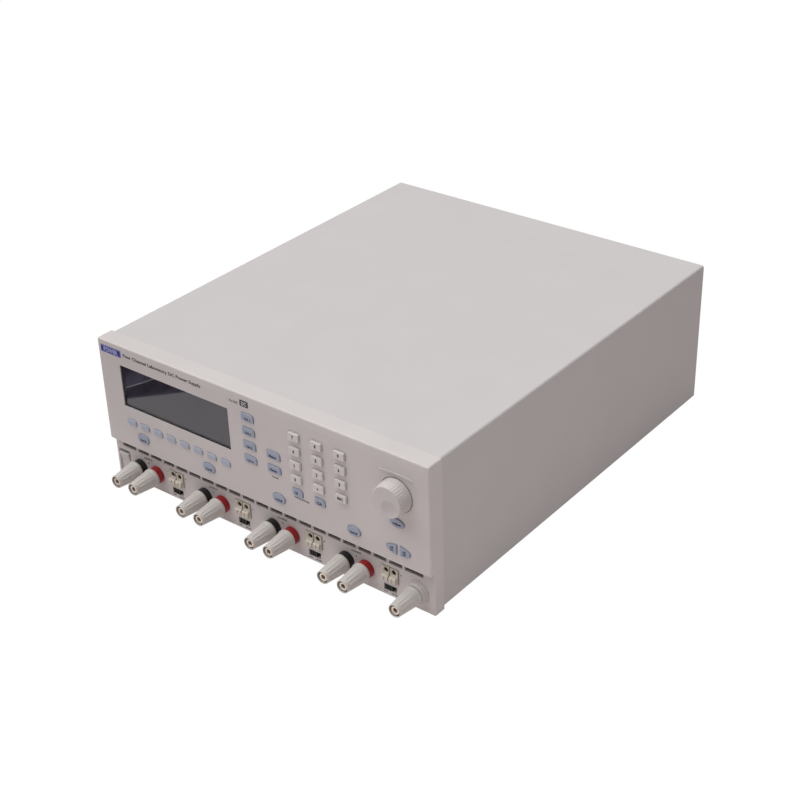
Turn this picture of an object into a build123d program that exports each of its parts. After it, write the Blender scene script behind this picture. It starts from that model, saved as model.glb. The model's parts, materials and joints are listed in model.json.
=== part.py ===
"""Four-output bench power supply: a moulded front with keys, knob and binding posts,
a folded steel case, and the boards, fan and sockets that it holds.

Millimetres. +X is right as seen from the front, +Y points to the rear, +Z is up.
The origin is the centre of the whole outline, on the surface that the feet stand on.
"""
import os
from math import cos, radians, sin

from build123d import *

os.makedirs("parts", exist_ok=True)

# ---- driving dimensions -------------------------------------------------------------
CASE_WIDTH = 330.0
CASE_HEIGHT = 130.5
CASE_DEPTH = 389.0            # front face to the rear edge of the cover
FOOT_HEIGHT = 5.0
POST_REACH = 23.5             # binding-post caps ahead of the front face
REAR_REACH = 2.5              # rear sockets and screws behind the cover's edge
BEZEL_DEPTH = 15.5
BEZEL_WALL = 2.5
STEP_HEIGHT = 38.2            # top of the lower band, above the bottom of the case
STEP_SETBACK = 5.0            # the lower band stands this far behind the upper face
COVER_SHEET = 1.2
CHASSIS_SHEET = 1.5

FRONT = POST_REACH - (POST_REACH + CASE_DEPTH + REAR_REACH) / 2.0
LOWER_FRONT = FRONT + STEP_SETBACK
BEZEL_BACK = FRONT + BEZEL_DEPTH
REAR = FRONT + CASE_DEPTH
BASE = FOOT_HEIGHT
TOP = BASE + CASE_HEIGHT
STEP_Z = BASE + STEP_HEIGHT
HALF_WIDTH = CASE_WIDTH / 2.0

# keys: openings, flanges and travel
KEY_GAP = 0.35                # round each key in its opening
KEY_FLANGE = 1.2              # the hidden rim that holds a key in its opening
KEY_FLANGE_DEPTH = 1.0
KEY_REST_GAP = 0.3            # between the flange and the back of the panel
KEY_STEM_RADIUS = 2.0
KEY_STEM_END = 6.7            # behind the front face
SWITCH_FACE = 8.4             # tops of the key switches, behind the front face
BOARD_FACE = 12.0             # front circuit board, behind the front face
BOARD_SHEET = 1.6
PANEL_BACK = FRONT + BEZEL_WALL
KEY_BIG_CORNER = 2.6
KEY_EDGE = 0.45               # softened edge of every key

# columns and rows of the front panel, from the centre line and the bottom of the case
KEY_ROW_PITCH = 12.2
KEY_ROWS = [BASE + 112.1 - KEY_ROW_PITCH * row for row in range(5)]
PAD_COLUMNS = [42.3, 63.9, 85.5]
SELECT_COLUMN = -3.9
MENU_COLUMN = 20.0
PAD_KEY_WIDTH = 9.9
PAD_KEY_HEIGHT = 6.7
PAD_KEY_PROUD = 2.1
BLUE_KEY_PROUD = 1.1
SELECT_KEY_WIDTH = 12.3
MENU_KEY_WIDTH = 13.0
BLUE_KEY_HEIGHT = 6.3
SOFT_KEY_WIDTH = 9.6
SOFT_KEY_HEIGHT = 4.7
SOFT_KEY_PITCH = 14.71
SOFT_KEY_Z = BASE + 62.4
SOFT_KEY_COUNT = 8

DISPLAY_WIDTH = 116.8
DISPLAY_HEIGHT = 37.2
DISPLAY_X = -83.0
DISPLAY_Z = BASE + 94.3

KNOB_X = 136.2
KNOB_Z = BASE + 97.7
KNOB_BASE_RADIUS = 13.9
KNOB_FACE_RADIUS = 12.7
KNOB_LENGTH = 12.1
KNOB_STEM_RADIUS = 3.0
OVAL_RX = 6.3
OVAL_RZ = 4.2
ADJUST_KEY_Z = BASE + 74.0
ADJUST_KEY_RX = 6.4
ADJUST_KEY_RZ = 3.7
ALL_KEYS_X = 136.6
ALL_KEYS_Z = BASE + 50.5
ALL_KEYS_RX = 10.8
ALL_KEYS_RZ = 4.1
ALL_KEYS_SPLIT = 3.0
HALF_KEY_STEM = 6.0           # each half key's stem, from the middle of the ellipse

# output channels: each has a post pair, a sense block, a sense switch and an on/off key
CHANNELS = 4
CHANNEL_PITCH = 73.0
CHANNEL_X = [CHANNEL_PITCH * (i - 1.5) - 17.5 for i in range(CHANNELS)]
POST_PAIR = 19.05             # standard distance of a 4 mm socket pair
POST_Z = BASE + 16.5
OUTPUT_KEY_Z = BASE + 50.5
OUTPUT_KEY_OFFSET = 3.5
SENSE_OFFSET = 32.0
SENSE_Z = BASE + 20.8
SENSE_WIDTH = 15.0
SENSE_HEIGHT = 12.0
SENSE_PITCH = 7.2
SENSE_GAP = 0.5
SLIDE_OFFSET = 31.5
SLIDE_Z = BASE + 7.6
SLIDE_WINDOW = 12.0
SLIDE_WINDOW_HEIGHT = 5.6
SLIDER_LENGTH = 7.0
SLIDER_TRAVEL = 4.0
EARTH_X = 149.7
POST_X = [x + side * POST_PAIR / 2.0 for x in CHANNEL_X for side in (-1, 1)] + [EARTH_X]

# binding posts, lengths ahead of the lower face
SOCKET_RADIUS = 2.0           # 4 mm plug
STUD_RADIUS = 3.6
STUD_REAR_RADIUS = 3.0
STUD_REAR = 21.0
SOCKET_DEPTH = 20.0
RING_RADIUS = 7.3
RING_LENGTH = 5.5
CAP_GAP = 0.3
CAP_FRONT = STEP_SETBACK + POST_REACH
CAP_BASE_RADIUS = 8.0
CAP_FACE_RADIUS = 5.5
CAP_MOUTH_RADIUS = 4.75
CAP_MOUTH_DEPTH = 8.0
CAP_CLEARANCE = 0.3
STUD_RECESS = 0.9
PANEL_HOLE_RADIUS = 5.2
CAP_FLUTES = 14
CAP_FLUTE_RADIUS = 2.4
CAP_FLUTE_DEPTH = 0.2

# ventilation slots right under the step
VENT_HEIGHT = 5.9
VENT_Z = BASE + 33.25
VENT_PITCH = 14.5
VENT_LENGTH = 12.1
VENT_START = -138.0
VENT_COUNT = 19
VENT_FIRST = (-148.3, 15.4)   # centre and length of the longer slot at each end
VENT_LAST = (146.0, 17.0)

# power switch at the lower left
ROCKER_X = -155.4
ROCKER_Z = BASE + 14.6
ROCKER_WIDTH = 10.6
ROCKER_HEIGHT = 19.0
ROCKER_TILT = 7.0             # half of the rocker's swing
ROCKER_PIVOT = 5.2            # pivot behind the lower face
SWITCH_WIDTH = 13.0
SWITCH_HEIGHT = 23.0
SWITCH_LENGTH = 24.0

# rear panel
REAR_PANEL_RECESS = 2.0
REAR_FACE = REAR - REAR_PANEL_RECESS
FAN_SIZE = 80.0
FAN_DEPTH = 25.0
FAN_X = 96.0
FAN_Z = BASE + 66.0
FAN_BORE = 38.0
FAN_HOLE_PITCH = 71.5
INLET_X = -118.0
INLET_Z = BASE + 30.0
LAN_X = -40.0
USB_X = -64.0
SOCKET_Z = BASE + 26.0

COVER_OUTER_X = HALF_WIDTH - 1.5
COVER_TOP = TOP - 1.0
COVER_BOTTOM = BASE + 1.2
COVER_LIP = 12.0
COVER_INNER_X = COVER_OUTER_X - COVER_SHEET
TRAY_BOTTOM = COVER_BOTTOM + COVER_SHEET
TRAY_HALF = COVER_INNER_X - 0.2
TRAY_FLOOR = TRAY_BOTTOM + CHASSIS_SHEET
COVER_CEILING = COVER_TOP - COVER_SHEET
SCREW_RADIUS = 1.5
SCREW_HOLE = 1.7
LIP_SCREW_X = COVER_OUTER_X - 6.5
LIP_SCREW_Y = [BEZEL_BACK + 36.0, BEZEL_BACK + 132.0, REAR - 132.0, REAR - 22.0]
REAR_SCREW_X = [-154.0, -30.0, 30.0, 154.0]
REAR_SCREW_Z = [TRAY_FLOOR + 7.0, COVER_CEILING - 7.0]
REAR_SCREWS = [(x, z) for x in REAR_SCREW_X for z in REAR_SCREW_Z]


def facing_front(y):
    """A sketch plane at depth y: sketch x is +X, sketch y is +Z, extrude goes to the front."""
    return Plane(origin=(0, y, 0), x_dir=(1, 0, 0), z_dir=(0, -1, 0))


def finish(part, label):
    """Name a finished piece and write it."""
    part.label = label
    export_step(part, f"parts/{label}.step")


def cut_corner_outline(width, height, grow):
    """A key outline with three tight corners and a large one at the upper right."""
    with BuildSketch() as outline:
        Rectangle(width + 2 * grow, height + 2 * grow)
        corners = sorted(outline.vertices(), key=lambda v: v.X + v.Y)
        fillet(corners[:3], 0.8 + grow)
        far_corner = sorted(outline.vertices(), key=lambda v: v.X + v.Y)[-1]
        fillet(far_corner, KEY_BIG_CORNER + grow)
    return outline.sketch


def pad_outline(width, height, grow):
    """The outline of a number key."""
    with BuildSketch() as outline:
        RectangleRounded(width + 2 * grow, height + 2 * grow, 0.9 + grow)
    return outline.sketch


def oval_outline(rx, rz, grow):
    """The outline of an elliptical key."""
    with BuildSketch() as outline:
        Ellipse(rx + grow, rz + grow)
    return outline.sketch


def half_oval_outline(side, grow):
    """One half of the split ellipse, left (-1) or right (+1)."""
    with BuildSketch() as outline:
        Ellipse(ALL_KEYS_RX + grow, ALL_KEYS_RZ + grow, rotation=90 * (1 + side))
        inner_edge = side * (ALL_KEYS_SPLIT / 2.0 - grow)
        span = 2 * ALL_KEYS_RX
        with Locations((inner_edge - side * span / 2.0, 0)):
            Rectangle(span, 4 * ALL_KEYS_RZ, mode=Mode.SUBTRACT)
    return outline.sketch


def key_list():
    """Every key: name, centre, outline function and height above the panel."""
    def pad(grow):
        return pad_outline(PAD_KEY_WIDTH, PAD_KEY_HEIGHT, grow)

    def pad_blue(grow):
        return cut_corner_outline(PAD_KEY_WIDTH, BLUE_KEY_HEIGHT, grow)

    def select(grow):
        return cut_corner_outline(SELECT_KEY_WIDTH, BLUE_KEY_HEIGHT, grow)

    def menu(grow):
        return cut_corner_outline(MENU_KEY_WIDTH, BLUE_KEY_HEIGHT, grow)

    def output(grow):
        return oval_outline(OVAL_RX, OVAL_RZ, grow)

    def adjust(grow):
        return oval_outline(ADJUST_KEY_RX, ADJUST_KEY_RZ, grow)

    def left_half(grow):
        return half_oval_outline(-1, grow)

    def right_half(grow):
        return half_oval_outline(1, grow)

    keypad = [["7", "8", "9"], ["4", "5", "6"], ["1", "2", "3"], ["0", "decimal", "escape"]]
    keys = []
    for row, names in enumerate(keypad):
        for column, name in enumerate(names):
            label = f"number_key_{name}" if name.isdigit() else f"{name}_key"
            keys.append((label, PAD_COLUMNS[column], KEY_ROWS[row], pad, PAD_KEY_PROUD))
    keys.append(("ok_key", PAD_COLUMNS[0], KEY_ROWS[4], pad_blue, BLUE_KEY_PROUD))
    keys.append(("clear_key", PAD_COLUMNS[1], KEY_ROWS[4], pad_blue, BLUE_KEY_PROUD))
    for i in range(CHANNELS):
        keys.append((f"output_select_key_{i + 1}", SELECT_COLUMN, KEY_ROWS[i], select, BLUE_KEY_PROUD))
    keys.append(("menu_key", MENU_COLUMN, KEY_ROWS[2], menu, BLUE_KEY_PROUD))
    keys.append(("home_key", MENU_COLUMN, KEY_ROWS[3], menu, BLUE_KEY_PROUD))
    for i, x in enumerate(CHANNEL_X):
        keys.append((f"output_on_key_{i + 1}", x + OUTPUT_KEY_OFFSET, OUTPUT_KEY_Z, output, BLUE_KEY_PROUD))
    keys.append(("adjust_key", KNOB_X, ADJUST_KEY_Z, adjust, BLUE_KEY_PROUD))
    keys.append(("all_on_key", ALL_KEYS_X, ALL_KEYS_Z, left_half, BLUE_KEY_PROUD))
    keys.append(("all_off_key", ALL_KEYS_X, ALL_KEYS_Z, right_half, BLUE_KEY_PROUD))
    return keys


def stem_centre(label, x, z):
    """Where a key presses its switch: under the middle of its own outline."""
    halves = {"all_on_key": -HALF_KEY_STEM, "all_off_key": HALF_KEY_STEM}
    return (x + halves.get(label, 0.0), z)


KEYS = key_list()
SOFT_KEY_START = DISPLAY_X - SOFT_KEY_PITCH * (SOFT_KEY_COUNT - 1) / 2.0
SOFT_KEY_X = [SOFT_KEY_START + SOFT_KEY_PITCH * i for i in range(SOFT_KEY_COUNT)]
STEMS = [stem_centre(label, x, z) for label, x, z, outline, proud in KEYS]
STEMS += [(x, SOFT_KEY_Z) for x in SOFT_KEY_X]


# ---- front bezel --------------------------------------------------------------------
RIM_WIDTH = 6.0               # sloped rim round the upper face
RIM_DROP = 0.5
EDGE_RADIUS = 1.6
COLLAR_RADII = [9.3, 8.3]     # the two steps of the earth post's collar
COLLAR_STEP = 1.8
RIB_HALF_LENGTH = 14.6
RIB_Z = BASE + 114.7
RIB_RISE = 0.8
RIB_HALF_WIDTH = 0.75
RIB_PROUD = 0.7
KNOB_SEAT_GAP = 0.6           # groove left round the knob by its shallow seat
KNOB_SEAT_DEPTH = 1.0
CUT_MARGIN = 1.0              # how far a cut runs beyond the wall that it opens
PICK = 0.1                    # tolerance for picking edges by their place


def at_side(edge):
    """Whether an edge lies on the left or right side of the bezel."""
    return abs(edge.center().X) > HALF_WIDTH - PICK


def at_top_or_bottom(edge):
    """Whether an edge lies on the top or bottom of the bezel."""
    return edge.center().Z > TOP - PICK or edge.center().Z < BASE + PICK


with BuildPart() as front_bezel:
    with BuildSketch(facing_front(FRONT)):
        with Locations((0, (STEP_Z + TOP - RIM_WIDTH) / 2.0)):
            Rectangle(CASE_WIDTH - 2 * RIM_WIDTH, TOP - RIM_WIDTH - STEP_Z)
    with BuildSketch(facing_front(FRONT + RIM_DROP)):
        with Locations((0, (STEP_Z + TOP) / 2.0)):
            Rectangle(CASE_WIDTH, TOP - STEP_Z)
    loft(ruled=True)
    with BuildSketch(Plane.YZ):
        with BuildLine():
            Polyline(
                (FRONT + RIM_DROP, STEP_Z),
                (FRONT + RIM_DROP, TOP),
                (BEZEL_BACK, TOP),
                (BEZEL_BACK, BASE),
                (LOWER_FRONT, BASE),
                (LOWER_FRONT, STEP_Z),
                close=True,
            )
        make_face()
    extrude(amount=HALF_WIDTH, both=True)
    rim_y = FRONT + RIM_DROP
    upper_rim = front_bezel.edges().filter_by_position(Axis.Y, rim_y - PICK / 2, rim_y + PICK / 2)
    outer_rim = upper_rim.filter_by(lambda e: at_side(e) or e.center().Z > TOP - PICK)
    lower_rim = front_bezel.edges().filter_by_position(Axis.Y, LOWER_FRONT - PICK, LOWER_FRONT + PICK)
    lower_outer = lower_rim.filter_by(lambda e: at_side(e) or e.center().Z < BASE + PICK)
    side_runs = front_bezel.edges().filter_by(Axis.Y).filter_by(at_side)
    corner_runs = side_runs.filter_by(at_top_or_bottom)
    fillet(outer_rim + lower_outer + corner_runs, EDGE_RADIUS)
    with BuildSketch(Plane.YZ):
        with BuildLine():
            Polyline(
                (PANEL_BACK, STEP_Z + BEZEL_WALL),
                (PANEL_BACK, TOP - BEZEL_WALL),
                (BEZEL_BACK, TOP - BEZEL_WALL),
                (BEZEL_BACK, BASE + BEZEL_WALL),
                (LOWER_FRONT + BEZEL_WALL, BASE + BEZEL_WALL),
                (LOWER_FRONT + BEZEL_WALL, STEP_Z + BEZEL_WALL),
                close=True,
            )
        make_face()
    extrude(amount=HALF_WIDTH - BEZEL_WALL, both=True, mode=Mode.SUBTRACT)
    # earth post collar, moulded with the panel
    with BuildSketch(facing_front(LOWER_FRONT)):
        with Locations((EARTH_X, POST_Z)):
            Circle(COLLAR_RADII[0])
    extrude(amount=COLLAR_STEP)
    with BuildSketch(facing_front(LOWER_FRONT - COLLAR_STEP)):
        with Locations((EARTH_X, POST_Z)):
            Circle(COLLAR_RADII[1])
    extrude(amount=RING_LENGTH - COLLAR_STEP)
    # slim arched rib above the knob
    with BuildSketch(facing_front(FRONT)):
        with BuildLine():
            ThreePointArc(
                (KNOB_X - RIB_HALF_LENGTH, RIB_Z),
                (KNOB_X, RIB_Z + RIB_RISE),
                (KNOB_X + RIB_HALF_LENGTH, RIB_Z),
            )
            offset(amount=RIB_HALF_WIDTH, kind=Kind.ARC)
        make_face()
    extrude(amount=RIB_PROUD)
    # shallow seat behind the knob
    with BuildSketch(facing_front(FRONT)):
        with Locations((KNOB_X, KNOB_Z)):
            Circle(KNOB_BASE_RADIUS + KNOB_SEAT_GAP)
    extrude(amount=-KNOB_SEAT_DEPTH, mode=Mode.SUBTRACT)
    # openings of the upper face
    with BuildSketch(facing_front(FRONT)):
        for label, x, z, outline, proud in KEYS:
            with Locations((x, z)):
                add(outline(KEY_GAP))
        for x in SOFT_KEY_X:
            with Locations((x, SOFT_KEY_Z)):
                add(cut_corner_outline(SOFT_KEY_WIDTH, SOFT_KEY_HEIGHT, KEY_GAP))
        with Locations((DISPLAY_X, DISPLAY_Z)):
            Rectangle(DISPLAY_WIDTH, DISPLAY_HEIGHT)
        with Locations((KNOB_X, KNOB_Z)):
            Circle(KNOB_STEM_RADIUS + 1.0)
    extrude(amount=-(BEZEL_WALL + CUT_MARGIN), mode=Mode.SUBTRACT)
    # openings of the lower band
    with BuildSketch(facing_front(LOWER_FRONT - RING_LENGTH)):
        with Locations([(x, POST_Z) for x in POST_X]):
            Circle(PANEL_HOLE_RADIUS)
        for x in CHANNEL_X:
            with Locations((x + SENSE_OFFSET, SENSE_Z)):
                Rectangle(SENSE_WIDTH + 2 * SENSE_GAP, SENSE_HEIGHT + 2 * SENSE_GAP)
            with Locations((x + SLIDE_OFFSET, SLIDE_Z)):
                Rectangle(SLIDE_WINDOW, SLIDE_WINDOW_HEIGHT)
        for i in range(VENT_COUNT):
            with Locations((VENT_START + VENT_PITCH * i + VENT_LENGTH / 2.0, VENT_Z)):
                Rectangle(VENT_LENGTH, VENT_HEIGHT)
        for centre, length in (VENT_FIRST, VENT_LAST):
            with Locations((centre, VENT_Z)):
                Rectangle(length, VENT_HEIGHT)
        with Locations((ROCKER_X, ROCKER_Z)):
            Rectangle(SWITCH_WIDTH, SWITCH_HEIGHT)
    extrude(amount=-(RING_LENGTH + BEZEL_WALL + CUT_MARGIN), mode=Mode.SUBTRACT)
finish(front_bezel.part, "front_bezel")


# ---- keys ---------------------------------------------------------------------------
def make_key(label, x, z, outline, proud):
    """A key cap with softened edges, its hidden flange and the stem that presses the switch."""
    flange_front = PANEL_BACK + KEY_REST_GAP
    with BuildPart() as key:
        with BuildSketch(facing_front(flange_front)):
            with Locations((x, z)):
                add(outline(0.0))
        extrude(amount=flange_front - (FRONT - proud))
        fillet(key.faces().sort_by(Axis.Y)[0].edges(), KEY_EDGE)
        with BuildSketch(facing_front(flange_front)):
            with Locations((x, z)):
                add(outline(KEY_FLANGE))
        extrude(amount=-KEY_FLANGE_DEPTH)
        with BuildSketch(facing_front(flange_front + KEY_FLANGE_DEPTH)):
            with Locations(stem_centre(label, x, z)):
                Circle(KEY_STEM_RADIUS)
        extrude(amount=flange_front + KEY_FLANGE_DEPTH - (FRONT + KEY_STEM_END))
    finish(key.part, label)


def half_key_outline(side):
    """Outlines of one half key: its flange keeps clear of the other half."""
    def outline(grow):
        if grow <= KEY_GAP:
            return half_oval_outline(side, grow)
        with BuildSketch() as flange:
            Ellipse(ALL_KEYS_RX + grow, ALL_KEYS_RZ + grow, rotation=90 * (1 + side))
            with Locations((-side * ALL_KEYS_RX, 0)):
                Rectangle(2 * ALL_KEYS_RX + ALL_KEYS_SPLIT / 2.0, 4 * ALL_KEYS_RZ, mode=Mode.SUBTRACT)
        return flange.sketch
    return outline


for label, x, z, outline, proud in KEYS:
    if label == "all_on_key":
        outline = half_key_outline(-1)
    if label == "all_off_key":
        outline = half_key_outline(1)
    make_key(label, x, z, outline, proud)

with BuildPart() as soft_keys:
    soft_flange_front = PANEL_BACK + KEY_REST_GAP
    with BuildSketch(facing_front(soft_flange_front)):
        for x in SOFT_KEY_X:
            with Locations((x, SOFT_KEY_Z)):
                add(cut_corner_outline(SOFT_KEY_WIDTH, SOFT_KEY_HEIGHT, 0.0))
    extrude(amount=soft_flange_front - (FRONT - BLUE_KEY_PROUD))
    fillet(soft_keys.faces().group_by(Axis.Y)[0].edges(), KEY_EDGE)
    with BuildSketch(facing_front(soft_flange_front)):
        with Locations((DISPLAY_X, SOFT_KEY_Z)):
            Rectangle(SOFT_KEY_PITCH * SOFT_KEY_COUNT - 1.0, SOFT_KEY_HEIGHT + 2.0)
    extrude(amount=-KEY_FLANGE_DEPTH)
    with BuildSketch(facing_front(soft_flange_front + KEY_FLANGE_DEPTH)):
        with Locations([(x, SOFT_KEY_Z) for x in SOFT_KEY_X]):
            Circle(KEY_STEM_RADIUS)
    extrude(amount=soft_flange_front + KEY_FLANGE_DEPTH - (FRONT + KEY_STEM_END))
finish(soft_keys.part, "soft_keys")


# ---- adjusting knob -----------------------------------------------------------------
KNOB_GAP = 0.1                # behind the knob, in front of the panel
KNOB_TEETH = 36
KNOB_COLLAR = 3.4             # smooth ring between the panel and the flutes
KNOB_FLUTE_RADIUS = 0.8
KNOB_FLUTE_OFFSET = 0.6       # flute centres outside the knob's surface
KNOB_EDGE = 1.2
DIMPLE_RADIUS = 13.0
DIMPLE_DEPTH = 2.3
DIMPLE_OFFSET = (3.2, -4.8)
KNOB_TAPER = (KNOB_BASE_RADIUS - KNOB_FACE_RADIUS) / KNOB_LENGTH
KNOB_COLLAR_RADIUS = KNOB_BASE_RADIUS - KNOB_TAPER * KNOB_COLLAR

with BuildPart() as adjust_knob:
    knob_plane = Plane(origin=(KNOB_X, FRONT, KNOB_Z), x_dir=(1, 0, 0), z_dir=(0, -1, 0))
    with BuildSketch(knob_plane.offset(KNOB_GAP)):
        Circle(KNOB_BASE_RADIUS)
    with BuildSketch(knob_plane.offset(KNOB_LENGTH)):
        Circle(KNOB_FACE_RADIUS)
    loft()
    fillet(adjust_knob.edges().sort_by(Axis.Y)[0], KNOB_EDGE)
    for i in range(KNOB_TEETH):
        angle = radians(360.0 * i / KNOB_TEETH)
        outward = Vector(cos(angle), 0, sin(angle))
        front_reach = outward * (KNOB_FACE_RADIUS + KNOB_FLUTE_OFFSET)
        back_reach = outward * (KNOB_COLLAR_RADIUS + KNOB_FLUTE_OFFSET)
        front_centre = Vector(KNOB_X, FRONT - KNOB_LENGTH - 0.2, KNOB_Z) + front_reach
        back_centre = Vector(KNOB_X, FRONT - KNOB_COLLAR, KNOB_Z) + back_reach
        run = back_centre - front_centre
        with BuildSketch(Plane(origin=front_centre, x_dir=outward, z_dir=run)):
            Circle(KNOB_FLUTE_RADIUS)
        extrude(amount=run.length, mode=Mode.SUBTRACT)
    with BuildSketch(knob_plane.offset(KNOB_GAP)):
        Circle(KNOB_STEM_RADIUS)
    extrude(amount=-(KNOB_GAP + 11.0))
    dimple_y = FRONT - KNOB_LENGTH + DIMPLE_DEPTH - DIMPLE_RADIUS
    with Locations((KNOB_X + DIMPLE_OFFSET[0], dimple_y, KNOB_Z + DIMPLE_OFFSET[1])):
        Sphere(DIMPLE_RADIUS, mode=Mode.SUBTRACT)
finish(adjust_knob.part, "adjust_knob")


# ---- display ------------------------------------------------------------------------
WINDOW_FIT = 0.15
WINDOW_RECESS = 1.3
WINDOW_SHEET = 1.5
WINDOW_RIM = 0.8               # width of the rim behind the window
WINDOW_FLANGE = 2.0            # how far the flange reaches behind the panel
FLANGE_SHEET = 0.6

RIM_OPENING = (DISPLAY_WIDTH - 2 * WINDOW_RIM, DISPLAY_HEIGHT - 2 * WINDOW_RIM)
with BuildPart() as display_window:
    with BuildSketch(facing_front(FRONT + WINDOW_RECESS)):
        with Locations((DISPLAY_X, DISPLAY_Z)):
            Rectangle(DISPLAY_WIDTH - 2 * WINDOW_FIT, DISPLAY_HEIGHT - 2 * WINDOW_FIT)
    extrude(amount=-WINDOW_SHEET)
    with BuildSketch(facing_front(PANEL_BACK)):
        with Locations((DISPLAY_X, DISPLAY_Z)):
            Rectangle(DISPLAY_WIDTH + 2 * WINDOW_FLANGE, DISPLAY_HEIGHT + 2 * WINDOW_FLANGE)
            Rectangle(RIM_OPENING[0], RIM_OPENING[1], mode=Mode.SUBTRACT)
    extrude(amount=-FLANGE_SHEET)
    with BuildSketch(facing_front(FRONT + WINDOW_RECESS + WINDOW_SHEET)):
        with Locations((DISPLAY_X, DISPLAY_Z)):
            Rectangle(DISPLAY_WIDTH - 2 * WINDOW_FIT, DISPLAY_HEIGHT - 2 * WINDOW_FIT)
            Rectangle(RIM_OPENING[0], RIM_OPENING[1], mode=Mode.SUBTRACT)
    extrude(amount=-(PANEL_BACK + FLANGE_SHEET - FRONT - WINDOW_RECESS - WINDOW_SHEET))
finish(display_window.part, "display_window")

LCD_FRONT = FRONT + 3.3
LCD_BORDER = 4.0
LCD_DEPTH = 6.5
LCD_CORNER = 1.0
GLASS_BORDER = 0.5
GLASS_SUNK = 0.5
with BuildPart() as lcd_module:
    with BuildSketch(facing_front(LCD_FRONT)):
        with Locations((DISPLAY_X, DISPLAY_Z)):
            Rectangle(DISPLAY_WIDTH + 2 * LCD_BORDER, DISPLAY_HEIGHT + 2 * LCD_BORDER)
    extrude(amount=-LCD_DEPTH)
    fillet(lcd_module.edges().filter_by(Axis.Y), LCD_CORNER)
    with BuildSketch(facing_front(LCD_FRONT)):
        with Locations((DISPLAY_X, DISPLAY_Z)):
            Rectangle(DISPLAY_WIDTH + 2 * GLASS_BORDER, DISPLAY_HEIGHT + 2 * GLASS_BORDER)
    extrude(amount=-GLASS_SUNK, mode=Mode.SUBTRACT)
finish(lcd_module.part, "lcd_module")


# ---- front circuit board: key switches, encoder and sense switches on one board ------
BOARD_WIDTH = CASE_WIDTH - 8.0
BOARD_HEIGHT = 118.0
BOARD_Z = BASE + 63.5
STUD_HOLE_RADIUS = 6.5
SWITCH_MARGIN = 1.5           # round the power switch
SWITCH_CUT = (SWITCH_WIDTH + 2 * SWITCH_MARGIN, SWITCH_HEIGHT + 2 * SWITCH_MARGIN)
KEY_SWITCH_SIZE = 6.0
KEY_SWITCH_HEIGHT = 2.4
KEY_PLUNGER_RADIUS = 1.7
ENCODER_SIZE = 13.0
ENCODER_HEIGHT = 4.5
ENCODER_BUSH_RADIUS = 5.0
ENCODER_BUSH_LENGTH = 3.0
ENCODER_BORE_START = 4.0
ENCODER_BORE_DEPTH = 7.6
STEM_FIT = 0.06
SLIDE_WALL = (1.2, 0.8)       # side and top walls of a slide switch housing
SLIDE_HOUSING_GAP = 0.1
SLIDE_CAVITY = 2.6
SLIDE_CAVITY_FIT = 0.2
with BuildPart() as front_board:
    with BuildSketch(facing_front(FRONT + BOARD_FACE)):
        with Locations((0, BOARD_Z)):
            Rectangle(BOARD_WIDTH, BOARD_HEIGHT)
        with Locations([(x, POST_Z) for x in POST_X]):
            Circle(STUD_HOLE_RADIUS, mode=Mode.SUBTRACT)
        with Locations((ROCKER_X, ROCKER_Z)):
            Rectangle(SWITCH_CUT[0], SWITCH_CUT[1], mode=Mode.SUBTRACT)
    extrude(amount=-BOARD_SHEET)
    with BuildSketch(facing_front(FRONT + BOARD_FACE)):
        with Locations(STEMS):
            Rectangle(KEY_SWITCH_SIZE, KEY_SWITCH_SIZE)
    extrude(amount=KEY_SWITCH_HEIGHT)
    with BuildSketch(facing_front(FRONT + BOARD_FACE - KEY_SWITCH_HEIGHT)):
        with Locations(STEMS):
            Circle(KEY_PLUNGER_RADIUS)
    extrude(amount=BOARD_FACE - KEY_SWITCH_HEIGHT - SWITCH_FACE)
    with BuildSketch(facing_front(FRONT + BOARD_FACE)):
        with Locations((KNOB_X, KNOB_Z)):
            Rectangle(ENCODER_SIZE, ENCODER_SIZE)
    extrude(amount=ENCODER_HEIGHT)
    with BuildSketch(facing_front(FRONT + BOARD_FACE - ENCODER_HEIGHT)):
        with Locations((KNOB_X, KNOB_Z)):
            Circle(ENCODER_BUSH_RADIUS)
    extrude(amount=ENCODER_BUSH_LENGTH)
    with BuildSketch(facing_front(FRONT + ENCODER_BORE_START)):
        with Locations((KNOB_X, KNOB_Z)):
            Circle(KNOB_STEM_RADIUS + STEM_FIT)
    extrude(amount=-ENCODER_BORE_DEPTH, mode=Mode.SUBTRACT)
    # sense switch housings, open towards the front
    with BuildSketch(facing_front(FRONT + BOARD_FACE)):
        with Locations([(x + SLIDE_OFFSET, SLIDE_Z) for x in CHANNEL_X]):
            Rectangle(SLIDE_WINDOW + 2 * SLIDE_WALL[0], SLIDE_WINDOW_HEIGHT + 2 * SLIDE_WALL[1])
    extrude(amount=BOARD_FACE - STEP_SETBACK - BEZEL_WALL - SLIDE_HOUSING_GAP)
    with BuildSketch(facing_front(FRONT + STEP_SETBACK + BEZEL_WALL)):
        with Locations([(x + SLIDE_OFFSET, SLIDE_Z) for x in CHANNEL_X]):
            Rectangle(SLIDE_WINDOW + 2 * SLIDE_CAVITY_FIT, SLIDE_WINDOW_HEIGHT)
    extrude(amount=-SLIDE_CAVITY, mode=Mode.SUBTRACT)
finish(front_board.part, "front_board")

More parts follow.
